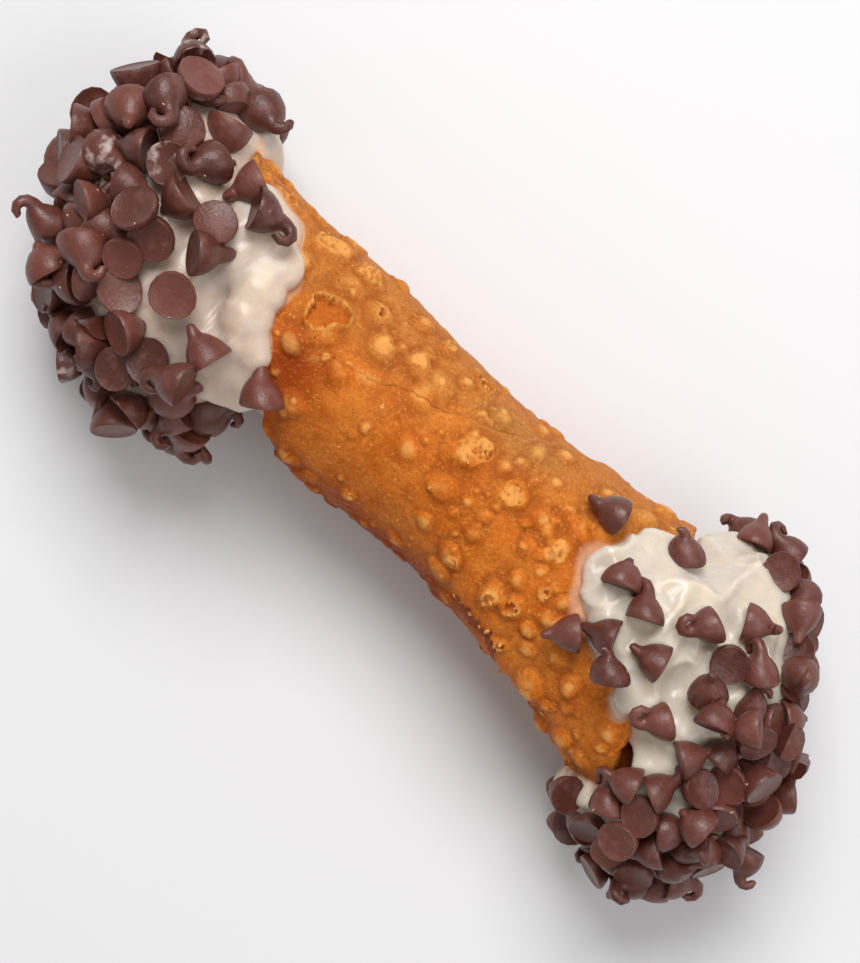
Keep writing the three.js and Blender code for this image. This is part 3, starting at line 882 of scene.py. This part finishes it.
def make_cream(sizes, colours):
    """The cream as one body: swellings, lobes and lips fused, then softened and folded."""
    made = []
    for name, swelling in SWELLINGS.items():
        made.append(add_ball(name, partial(swelling_point, swelling)))
        made += [add_ball(name, partial(lobe_point, *lobe), 32, 20) for lobe in swelling["lobes"]]
        made += [add_ball(name, partial(lip_point, lip), 24, 14) for lip in LIPS[name]]
    deselect()
    length = RIGHT_RIM[0] - LEFT_RIM[0]
    middle = (RIGHT_RIM[0] + LEFT_RIM[0]) / 2
    bpy.ops.mesh.primitive_cylinder_add(vertices=48, radius=RADIUS - WALL - 0.4, depth=length)
    core = start_object("core")
    points = points_of(core)
    set_points(core, np.stack((points[:, 2] + middle, points[:, 0], points[:, 1]), axis=1))
    made.append(core)
    cream = join(made, "cream_filling")
    cut = add_ball("gap", partial(oval_point, GAP), 24, 16)
    place_in_part(cream)
    place_in_part(cut)
    apply_modifier(cream, "REMESH", mode="VOXEL", voxel_size=REMESH_GRID * MM)
    apply_modifier(cream, "BOOLEAN", operation="DIFFERENCE", object=cut, solver="EXACT")
    bpy.data.objects.remove(cut)
    apply_modifier(cream, "REMESH", mode="VOXEL", voxel_size=sizes.cream_grid)
    apply_modifier(cream, "SMOOTH", factor=0.5, iterations=6)
    points = tube_points(cream)
    # Long folds, and on the right end curls and torn places too
    side = smooth(-5, 5, points[:, 0])
    soft = 0.75 * fractal(points, 13.0, 51, 2)
    folds = 1 - np.abs(noise(points @ np.diag((0.45, 0.22, 0.4)), 2.4, 57))
    turned = points @ np.array(((0.6, 0.3, 0), (-0.3, 0.6, 0.2), (0.1, -0.2, 0.6)))
    curls = 1 - np.abs(noise(turned, 2.6, 61))
    torn = np.clip(fractal(points, 4.2, 65, 3), -0.5, 0.35)
    right = 1.3 * (folds**3 - 0.35) + 0.5 * (curls**2 - 0.4) + 0.35 * torn
    right += 0.08 * fractal(points, 2.2, 63, 2)
    left = 0.55 * (folds**2 - 0.4) + 0.35 * fractal(points, 5.0, 67, 2)
    offset = soft + left + (right - left) * side
    points = points + points_of(cream, "normal") * offset[:, None]
    # The cream rests on a flat spot
    points[:, 2] = np.maximum(points[:, 2], -TUBE_PLACE[2])
    low = np.array(cad_low) / MM - TUBE_PLACE + 1.0
    high = np.array(cad_high) / MM - TUBE_PLACE - 1.0
    low[2] = -TUBE_PLACE[2]
    # Only the chips reach the sides of the solids' box
    points = np.clip(points, low, high)
    set_points(cream, to_part(points))
    store(cream, "side", side)
    on_shell = distances(tree_of((bpy.data.objects["pastry_shell"],)), points, 3.0)
    store(cream, "smeared", smooth(1.5, 0.4, on_shell))
    face_outwards(cream)
    bpy.ops.object.shade_smooth()
    give(cream, cream_material(colours), "cream", "filling")
    wet_shell(cream)


def wet_shell(cream):
    """Marks the shell where a thin film of cream lies on it, just beyond the cream's edges."""
    shell = bpy.data.objects["pastry_shell"]
    points = tube_points(shell)
    away = distances(tree_of((cream,)), points, 5.0)
    angle = np.degrees(np.arctan2(points[:, 1], points[:, 2]))
    radius = np.hypot(points[:, 1], points[:, 2])
    reach = 0.4 + 0.25 * noise(points, 2.5, 71)
    for along, around, size in FILMS:
        aside = wrap(angle - around) * DEGREE * radius
        reach += 2.4 * np.exp(-((points[:, 0] - along) ** 2 + aside**2) / size**2)
    ends = np.maximum(smooth(-20, -24, points[:, 0]), smooth(22, 27, points[:, 0]))
    store(shell, "wet", smooth(reach, 0.25 * reach, away) * ends)


# Each chip shape: how far its tip is curled over in radians, the tip's length, the body's fullness, and
# how far the body's top leans to the side that the tip falls to
CHIP_SHAPES = (
    (0.7, 0.12, 1.03, 0.02), (0.4, 0.3, 0.94, 0.0), (2.8, 0.5, 1.0, 0.08), (4.2, 0.92, 1.0, 0.12),
    (1.8, 0.3, 1.05, 0.12), (3.6, 0.74, 0.97, 0.17), (4.7, 1.05, 1.02, 0.06), (3.2, 0.6, 1.04, 0.15),
)
CHIP_PROFILE = (
    (0.44, 0.02), (0.48, 0.0), (0.5, 0.025), (0.493, 0.12), (0.455, 0.27), (0.385, 0.41), (0.295, 0.52),
    (0.215, 0.6),
)
# Where some chips are broken: a point of the break, and the side that is lost
BREAKS = (((0, 0.06, 0), (0.3, 1, 0.1)), ((0.02, 0, 0.42), (0.35, 0.1, 1)))
# Balls that stand for a chip where chips touch: X, Y, Z and radius, for a chip 1 wide
CHIP_BALLS = np.array(
    [(0, 0, 0.28, 0.28), (0.02, 0, 0.52, 0.17), (0.16, 0, 0.64, 0.1)]
    + [(0.35 * math.cos(k * math.pi / 3), 0.35 * math.sin(k * math.pi / 3), 0.13, 0.13) for k in range(6)]
)


def chip_points(shape, segments, rings, seed):
    """Points of a chip 1 wide: rings up its profile, then round the curl of its tip, and both ends."""
    curl, reach, full, sway = shape
    body = len(CHIP_PROFILE)
    spine = []
    x, z = sway, CHIP_PROFILE[-1][1]
    steps = rings - 1 - body
    for k in range(1, steps + 1):
        # The tip turns over slowly at first and then curls in on itself
        turn = curl * ((k - 0.5) / steps) ** 1.3
        x += reach / steps * math.sin(turn)
        z += reach / steps * math.cos(turn)
        spine.append((x, z, curl * (k / steps) ** 1.3, 0.175 * (1 - 0.5 * k / steps)))
    points = []
    for k in range(rings - 1):
        if k < body:
            radius, height = CHIP_PROFILE[k]
            lean = 0.0
            radius *= 1 + (full - 1) * math.sin(min(1.0, height / 0.6) * math.pi)
            # The body leans a little to the side that the tip falls to
            shift = sway * (height / CHIP_PROFILE[-1][1]) ** 1.6
        else:
            shift, height, lean, radius = spine[k - body]
        for j in range(segments):
            a = 2 * math.pi * j / segments
            wide = radius * (1 + 0.035 * math.sin(2 * a + seed) + 0.02 * math.sin(3 * a + 2 * seed))
            out = wide * math.cos(a)
            points.append((shift + out * math.cos(lean), wide * math.sin(a), height - out * math.sin(lean)))
    tip = (spine[-1][0] + 0.045 * math.sin(curl), 0.0, spine[-1][1] + 0.045 * math.cos(curl))
    return np.array(points), np.array((0.0, 0.0, 0.03)), np.array(tip)


def add_chip_shape(number, shape, segments=16, rings=15):
    """One chip, modelled from a sphere whose rings are moved onto the chip's outline."""
    deselect()
    bpy.ops.mesh.primitive_uv_sphere_add(segments=segments, ring_count=rings, radius=1)
    made = start_object("chip_shape_%d" % number)
    round_points = points_of(made)
    x, y, z = round_points.T
    levels = np.rint((1 - np.arccos(np.clip(z, -1, 1)) / math.pi) * rings).astype(int)
    turns = np.rint(np.arctan2(y, x) / (2 * math.pi) * segments).astype(int)
    points, base, tip = chip_points(shape, segments, rings, number)
    placed = np.empty_like(round_points)
    for index, (level, turn) in enumerate(zip(levels, turns)):
        if level == 0:
            placed[index] = base
        elif level == rings:
            placed[index] = tip
        else:
            placed[index] = points[(level - 1) * segments + turn % segments]
    set_points(made, placed)
    face_outwards(made)
    return made


def turn_towards(axis, spin):
    """A turn that takes Z to the given axis, after a spin about it."""
    axis = axis / np.linalg.norm(axis)
    helper = np.array((1.0, 0, 0)) if abs(axis[0]) < 0.8 else np.array((0, 1.0, 0))
    first = np.cross(helper, axis)
    first /= np.linalg.norm(first)
    second = np.cross(axis, first)
    c, s = math.cos(spin), math.sin(spin)
    return np.array((c * first + s * second, c * second - s * first, axis)).T


def leaning(lean, way):
    """A direction that leans so many degrees from straight up, to the given side."""
    lean, way = lean * DEGREE, way * DEGREE
    return np.array((math.sin(lean) * math.cos(way), math.sin(lean) * math.sin(way), math.cos(lean)))


class Heap:
    """Chips laid on the food one after another, each pressed inwards until it meets something."""

    def __init__(self, ground):
        self.ground = ground
        self.balls = np.empty((0, 4))
        self.chips = []

    def drop(self, point, inward, turn, width, sink):
        """How far a chip started at point can go inwards, and how far it is then above the food."""
        balls = CHIP_BALLS * width
        centres = point + balls[:, :3] @ turn.T
        free = []
        for centre, size in zip(centres, balls[:, 3]):
            place, _, _, way = self.ground.ray_cast(Vector(centre), Vector(inward), FARTHEST)
            if place is not None:
                free.append(way - size)
        if not free:
            return None
        stop = rest = min(free) + sink
        near = self.balls[np.linalg.norm(self.balls[:, :3] - point, axis=1) < NEIGHBOURS]
        gap = near[None, :, :3] - centres[:, None]
        ahead = gap @ inward
        aside = np.sum(gap**2, axis=2) - ahead**2
        # Chips touch a little closer than their balls do
        reach = (0.9 * (near[None, :, 3] + balls[:, None, 3])) ** 2
        touching = reach > aside
        if touching.any():
            travel = ahead[touching] - np.sqrt((reach - aside)[touching])
            stop = min(stop, max(0.0, travel.min()))
        return stop, rest - stop

    def lay(self, point, inward, turn, width, travel, shape):
        """Keeps a chip at the end of its way, for the next ones to meet."""
        at = point + inward * travel
        self.chips.append((at, turn, width, shape))
        balls = CHIP_BALLS * width
        centres = at + balls[:, :3] @ turn.T
        self.balls = np.vstack((self.balls, np.column_stack((centres, balls[:, 3]))))


def lay_single_chips(name, heap, width):
    """Lays chips from above where the photo shows them."""
    down = np.array((0.0, 0.0, -1.0))
    for x, y, lean, way, shape in PLACED_CHIPS[name]:
        start = np.array((x, y, 0)) - TUBE_PLACE * (1, 1, 0) + (0, 0, START_ABOVE)
        turn = turn_towards(leaning(lean, way), 1.0 + shape)
        found = heap.drop(start, down, turn, width, 0.16 * width)
        if found:
            heap.lay(start, down, turn, width, found[0], shape)


def way_out(swelling, direction, surface):
    """The way that a swelling faces at a point of its surface, from two points close by."""
    axes = swelling_axes(swelling["outward"])
    centre = np.array(swelling["centre"])
    step = 1e-3
    near = []
    for offset in ((0, step, -step / 2), (step, -step / 2, 0)):
        moved = direction + offset
        moved /= np.linalg.norm(moved)
        near.append(centre + (moved * reach_of(swelling, moved[None])[0]) @ axes - surface)
    normal = np.cross(near[0], near[1])
    normal /= np.linalg.norm(normal)
    return -normal if normal @ (surface - centre) < 0 else normal


def lowest_turn(heap, start, normal, width, rng):
    """The one of several random turns with which a chip comes to lie lowest, and how far it goes."""
    best = None
    for _ in range(TURNS_TRIED):
        axis = rng.normal(size=3)
        # Tips that would stick out are turned inwards, so that the flat base shows instead
        if axis @ normal > 0.5 * np.linalg.norm(axis):
            axis = -axis
        turn = turn_towards(axis, rng.uniform(0, 2 * math.pi))
        found = heap.drop(start, -normal, turn, width, width * rng.uniform(0.14, 0.34))
        if found and (best is None or found[1] < best[0][1]):
            best = (found, turn)
    return best


def crowd_chips(name, heap, width, count, seed):
    """Crowds chips on a swelling's outer end, down to the plane that it lies on."""
    swelling = SWELLINGS[name]
    axes = swelling_axes(swelling["outward"])
    centre = np.array(swelling["centre"])
    rng = np.random.default_rng(seed)
    laid = 0
    for _ in range(MOST_TRIES):
        if laid == count:
            break
        direction = rng.normal(size=3) * (1.0, 1.25, 1.0)
        direction /= np.linalg.norm(direction)
        own = direction * reach_of(swelling, direction[None])[0]
        out, side, up = own
        edge = np.interp(side, *CROWD_EDGE[name]) - 4.0 * max(0.0, -up / swelling["rise"])
        inside = out - edge
        if inside < 0 or up < -0.93 * swelling["rise"]:
            continue
        surface = centre + own @ axes
        here = (surface + TUBE_PLACE)[:2]
        if up > 0 and any(math.dist(here, place[:2]) < place[2] for place in BARE_PLACES[name]):
            continue
        normal = way_out(swelling, direction, surface)
        own_width = width * rng.uniform(0.88, 1.08)
        start = surface + normal * START_OUTSIDE
        best = lowest_turn(heap, start, normal, own_width, rng)
        if best is None:
            continue
        (travel, above), turn = best
        # Chips lie singly at the crowd's edge, and half of those further in may lie on others
        higher = 0.32 if rng.random() < 0.5 else 0.08
        if above > own_width * (0.14 + higher * smooth(0, 9, inside)):
            continue
        shape = int(rng.integers(0, len(CHIP_SHAPES) + len(BREAKS)))
        heap.lay(start, -normal, turn, own_width, travel, shape)
        laid += 1


def make_chips(sizes, colours):
    """The chips of both ends: a few shapes, copied into the places that the two heaps give."""
    shapes = [add_chip_shape(number, shape) for number, shape in enumerate(CHIP_SHAPES)]
    for number, (point, normal) in enumerate(BREAKS):
        broken = add_chip_shape(len(shapes), CHIP_SHAPES[number + 1])
        edit_mesh(
            broken, bpy.ops.mesh.bisect, plane_co=point, plane_no=normal, use_fill=True, clear_outer=True
        )
        shapes.append(broken)
    cream = bpy.data.objects["cream_filling"]
    tree = tree_of((cream, bpy.data.objects["pastry_shell"]))
    # Chips that would stand out of the solids' box by more than a little are moved in
    low, high = np.array(cad_low) / MM, np.array(cad_high) / MM
    room = (high - low) * ROOM
    everything = []
    for name, width, count, seed in (
        ("left", sizes.chip_width_left / MM, sizes.chips_left, 11),
        ("right", sizes.chip_width_right / MM, sizes.chips_right, 47),
    ):
        heap = Heap(tree)
        lay_single_chips(name, heap, width)
        crowd_chips(name, heap, width, count, seed)
        rng = np.random.default_rng(seed + 1)
        pieces, tints, dips = [], [], []
        for at, turn, chip_width, shape in heap.chips:
            source = shapes[shape]
            piece = source.copy()
            piece.data = source.data.copy()
            bpy.context.collection.objects.link(piece)
            points = points_of(piece) * chip_width @ turn.T + at + TUBE_PLACE
            over = np.maximum(points.max(axis=0) - high - room, 0)
            over[2] += min(0.0, points[:, 2].min())
            over[:2] -= np.maximum(low - room - points.min(axis=0), 0)[:2]
            set_points(piece, (points - over) * MM)
            pieces.append(piece)
            tints += [rng.uniform(0.1, 1.0)] * len(points)
            dips += [1.0 if rng.random() < 0.06 else 0.0] * len(points)
        chips = join(pieces, "chips_" + name)
        points = tube_points(chips)
        store(chips, "tint", tints)
        store(chips, "dipped", dips)
        store(chips, "near", distances(tree, points, 4.0))
        choose(chips)
        bpy.ops.object.shade_smooth_by_angle(angle=SHARP_ANGLE * DEGREE)
        give(chips, chocolate_material(colours), "chocolate", "filling")
        everything.append(points)
    for shape in shapes:
        bpy.data.objects.remove(shape)
    press_cream(cream, np.vstack(everything))


def press_cream(cream, chip_points_mm):
    """Raises the cream a little where it meets a chip."""
    tree = KDTree(len(chip_points_mm))
    for index, point in enumerate(chip_points_mm):
        tree.insert(point, index)
    tree.balance()
    points = tube_points(cream)
    away = np.array([tree.find(point)[2] for point in points])
    points += points_of(cream, "normal") * (0.38 * smooth(1.9, 0.6, away))[:, None]
    points[:, 2] = np.maximum(points[:, 2], -TUBE_PLACE[2])
    set_points(cream, to_part(points))


def add_crumb(number, place, normal, size, flat, rng):
    """An uneven crumb or flake, pressed into the surface that it lies on."""
    place, normal = np.array(place), np.array(normal)
    deselect()
    bpy.ops.mesh.primitive_ico_sphere_add(subdivisions=2, radius=0.5)
    made = start_object("crumb")
    points = points_of(made)
    points *= 1 + 0.4 * noise(points, 0.45, number)[:, None]
    points *= size * np.array((1.0, rng.uniform(0.5, 0.9), flat))
    points[:, 2] += 0.5 * points[:, 0] ** 2 / size
    turn = turn_towards(normal + rng.normal(size=3) * 0.15, rng.uniform(0, 2 * math.pi))
    set_points(made, to_part(points @ turn.T + place - normal * 0.1 * size * flat))
    return made


def make_crumbs(sizes, colours):
    """Flakes on the rims of the torn blisters and the ragged edge, and loose crumbs beside the chips."""
    rng = np.random.default_rng(83)
    on_shell = tree_of((bpy.data.objects["pastry_shell"],))
    on_heaps = tree_of((bpy.data.objects["chips_left"], bpy.data.objects["chips_right"]))
    spots = []
    for along, around, size, _, burst, _ in LARGE_BLISTERS:
        for _ in range(3 if burst else 0):
            spin = rng.uniform(0, 2 * math.pi)
            reach = burst * size * rng.uniform(0.95, 1.3)
            spots.append((along + reach * math.cos(spin), around + reach * math.sin(spin) * 3.4))
    for along in np.arange(TUCK["from"] + 2, TUCK["to"], 2.1):
        spots.append((along, tuck_angle(along) + rng.uniform(-5, 5)))
    for _ in range(sizes.loose_flakes):
        spots.append((rng.uniform(-38, 44), rng.uniform(-170, 180)))
    pieces = []
    for along, around in spots:
        outside = Vector((along, 20 * math.sin(around * DEGREE), 20 * math.cos(around * DEGREE)))
        place, normal = on_shell.find_nearest(outside)[:2]
        pieces.append(add_crumb(len(pieces), place, normal, rng.uniform(0.35, 1.0), 0.3, rng))
    for _ in range(sizes.loose_crumbs):
        end = SWELLINGS["left" if rng.random() < 0.5 else "right"]
        start = np.array(end["centre"]) + (rng.uniform(-16, 16), rng.uniform(-22, 22), 50)
        place, normal = on_heaps.ray_cast(Vector(start), Vector((0, 0, -1)), 80)[:2]
        if place is not None:
            pieces.append(add_crumb(len(pieces), place, normal, rng.uniform(0.25, 0.5), 0.7, rng))
    crumbs = join(pieces, "pastry_crumbs")
    for name in ("toast_and_painted_light", "hole", "tan", "painted_shade", "edge_shadow"):
        store(crumbs, name, np.full(len(crumbs.data.vertices), 1.0 if name == "toast_and_painted_light" else 0.0))
    # Those that lie on the chips are paler
    store(crumbs, "wet", 1.2 * smooth(0.8, 1.6, distances(on_shell, tube_points(crumbs), 2.0)))
    face_outwards(crumbs)
    bpy.ops.object.shade_smooth()
    give(crumbs, bpy.data.materials["fried pastry"], "pastry", "shell")


def make_stage(sizes, colours):
    """A plain pale floor and soft light from the photo's upper side."""
    deselect()
    bpy.ops.mesh.primitive_plane_add(size=3.0, location=(0, 0, -FLOOR_DROP * MM))
    floor = start_object("floor")
    s = Shader("floor")
    floor.data.materials.append(s.set(Base_Color=colours.floor, Roughness=0.7))
    for name, place, size, share in LIGHTS:
        bpy.ops.object.light_add(type="AREA", location=place)
        light = start_object(name)
        light.data.shape = "DISK"
        light.data.size = size
        light.data.energy = sizes.key_power * share
        light.rotation_euler = (-Vector(place)).to_track_quat("-Z", "Y").to_euler()
    world = bpy.data.worlds.new("soft room")
    bpy.context.scene.world = world
    bpy.context.scene.view_settings.view_transform = "Standard"
    world.use_nodes = True
    background = world.node_tree.nodes["Background"]
    background.inputs["Color"].default_value = (1.0, 0.98, 0.95, 1.0)
    background.inputs["Strength"].default_value = sizes.room_light


def make_camera(sizes, colours):
    """The photo's view, from straight above with the cannoli lying across it."""
    deselect()
    place = [value * MM for value in CAMERA["place"]]
    bpy.ops.object.camera_add(location=place, rotation=(0, 0, CAMERA["turn"] * DEGREE))
    camera = start_object("camera")
    camera.data.lens = CAMERA["lens"]
    camera.data.sensor_width = CAMERA["sensor"]
    camera.data.dof.use_dof = False
    bpy.context.scene.camera = camera


def screen_colour(name, description, *screen):
    return bpy.props.FloatVectorProperty(
        name=name, description=description, default=linear(*screen), min=0, max=1, subtype="COLOR"
    )


def length_property(name, description, value):
    return bpy.props.FloatProperty(
        name=name, description=description, default=value, min=0.0001, unit="LENGTH", subtype="DISTANCE"
    )


def count_property(name, description, value):
    return bpy.props.IntProperty(name=name, description=description, default=value, min=1, max=1000)


class CannoliSizes(bpy.types.PropertyGroup):
    """Sizes and counts that a user may change."""

    shell_columns: count_property("Shell columns", "Points round the shell", 290)
    shell_rows: count_property("Shell rows", "Points along the shell", 290)
    cream_grid: length_property("Cream grid", "Spacing of the cream's points", 0.0006)
    chip_width_left: length_property("Left chip width", "Width of the larger chips", 0.0071)
    chip_width_right: length_property("Right chip width", "Width of the smaller chips", 0.0061)
    chips_left: count_property("Left chips", "Chips crowded on the left end", 165)
    chips_right: count_property("Right chips", "Chips crowded on the right end", 185)
    loose_flakes: count_property("Loose flakes", "Flakes scattered over the shell", 26)
    loose_crumbs: count_property("Loose crumbs", "Crumbs scattered over the chips", 26)
    key_power: bpy.props.FloatProperty(
        name="Key light", description="Power of the main light", default=7.6, min=0, unit="POWER"
    )
    room_light: bpy.props.FloatProperty(
        name="Room light", description="Strength of the light from all round", default=0.36, min=0
    )


class CannoliColours(bpy.types.PropertyGroup):
    """Colours that a user may change."""

    crust: screen_colour("Crust", "Main colour of the pastry", 204, 107, 27)
    crust_bright: screen_colour("Bright crust", "Lighter patches of the pastry", 217, 127, 44)
    crust_tan: screen_colour("Tan crust", "The drier, browner side", 180, 120, 58)
    # Also the colour of the painted shade, and of the painted shadow along the free edge
    crust_deep: screen_colour("Deep crust", "The deep red-brown places", 136, 44, 6)
    # Also the painted shade in the hollows round the blisters, in dips and in the crease
    crust_dark: screen_colour("Dark crust", "Hollows between blisters", 156, 76, 20)
    # Also the painted highlight on the welt
    crust_pale: screen_colour("Pale crust", "Tops of blisters and bare dough", 232, 164, 86)
    crust_inside: screen_colour("Inside crust", "Inside a burst blister", 190, 100, 32)
    crust_char: screen_colour("Char", "Small dark specks", 96, 40, 16)
    crust_fleck: screen_colour("Flecks", "Small pale specks", 236, 190, 130)
    cream_left: screen_colour("Left cream", "Cream on the end with larger chips", 208, 185, 167)
    cream_right: screen_colour("Right cream", "Cream on the other end", 216, 203, 185)
    cream_cool: screen_colour("Cool cream", "Cooler patches of the cream", 200, 190, 183)
    cream_warm: screen_colour("Warm cream", "Yellower streaks of the cream", 222, 204, 172)
    cream_stained: screen_colour("Stained cream", "Thin cream on the shell", 222, 178, 146)
    cream_smear: screen_colour("Cream smear", "Cream on the chips", 200, 178, 172)
    chocolate: screen_colour("Chocolate", "Lighter chips", 112, 61, 49)
    chocolate_dark: screen_colour("Dark chocolate", "Darker chips", 76, 35, 28)
    chocolate_bloom: screen_colour("Bloom", "Dusty patches on the chips", 128, 80, 74)
    chocolate_dust: screen_colour("Dust", "Light specks on the chips", 190, 160, 140)
    floor: screen_colour("Floor", "The plain floor", 226, 226, 228)


class MakeStep(bpy.types.Operator):
    """Runs one step of the making"""

    bl_options = {"REGISTER", "UNDO"}
    make = None

    def execute(self, context):
        type(self).make(context.scene.cannoli_sizes, context.scene.cannoli_colours)
        return {"FINISHED"}


class CANNOLI_OT_camera(MakeStep):
    """Adds the camera with the photo's view"""

    bl_idname = "cannoli.camera"
    bl_label = "Add camera"
    make = make_camera


class CANNOLI_OT_shell(MakeStep):
    """Models the blistered pastry tube"""

    bl_idname = "cannoli.shell"
    bl_label = "Make pastry shell"
    make = make_shell


class CANNOLI_OT_cream(MakeStep):
    """Models the cream that fills the tube and swells out of its ends"""

    bl_idname = "cannoli.cream"
    bl_label = "Make cream"
    make = make_cream


class CANNOLI_OT_chips(MakeStep):
    """Models the chocolate chips and lays them on the cream"""

    bl_idname = "cannoli.chips"
    bl_label = "Make chocolate chips"
    make = make_chips


class CANNOLI_OT_crumbs(MakeStep):
    """Scatters the pastry's flakes and crumbs"""

    bl_idname = "cannoli.crumbs"
    bl_label = "Make crumbs"
    make = make_crumbs


class CANNOLI_OT_stage(MakeStep):
    """Adds the floor and the light"""

    bl_idname = "cannoli.stage"
    bl_label = "Add stage"
    make = make_stage


STEPS = (
    CANNOLI_OT_camera,
    CANNOLI_OT_shell,
    CANNOLI_OT_cream,
    CANNOLI_OT_chips,
    CANNOLI_OT_crumbs,
    CANNOLI_OT_stage,
)


class CANNOLI_PT_panel(bpy.types.Panel):
    """Lists the steps with their sizes and colours"""

    bl_label = "Cannoli"
    bl_space_type = "VIEW_3D"
    bl_region_type = "UI"
    bl_category = "Cannoli"

    def draw(self, context):
        layout = self.layout
        for step in STEPS:
            layout.operator(step.bl_idname)
        for settings in (context.scene.cannoli_sizes, context.scene.cannoli_colours):
            box = layout.box()
            for name in settings.__annotations__:
                box.prop(settings, name)


CLASSES = (CannoliSizes, CannoliColours, *STEPS, CANNOLI_PT_panel)


def register():
    for each in CLASSES:
        bpy.utils.register_class(each)
    bpy.types.Scene.cannoli_sizes = bpy.props.PointerProperty(type=CannoliSizes)
    bpy.types.Scene.cannoli_colours = bpy.props.PointerProperty(type=CannoliColours)


def unregister():
    del bpy.types.Scene.cannoli_colours
    del bpy.types.Scene.cannoli_sizes
    for each in reversed(CLASSES):
        bpy.utils.unregister_class(each)


def main():
    register()
    bpy.ops.cannoli.camera()
    bpy.ops.cannoli.shell()
    bpy.ops.cannoli.cream()
    bpy.ops.cannoli.chips()
    bpy.ops.cannoli.crumbs()
    bpy.ops.cannoli.stage()


if __name__ == "__main__":
    main()
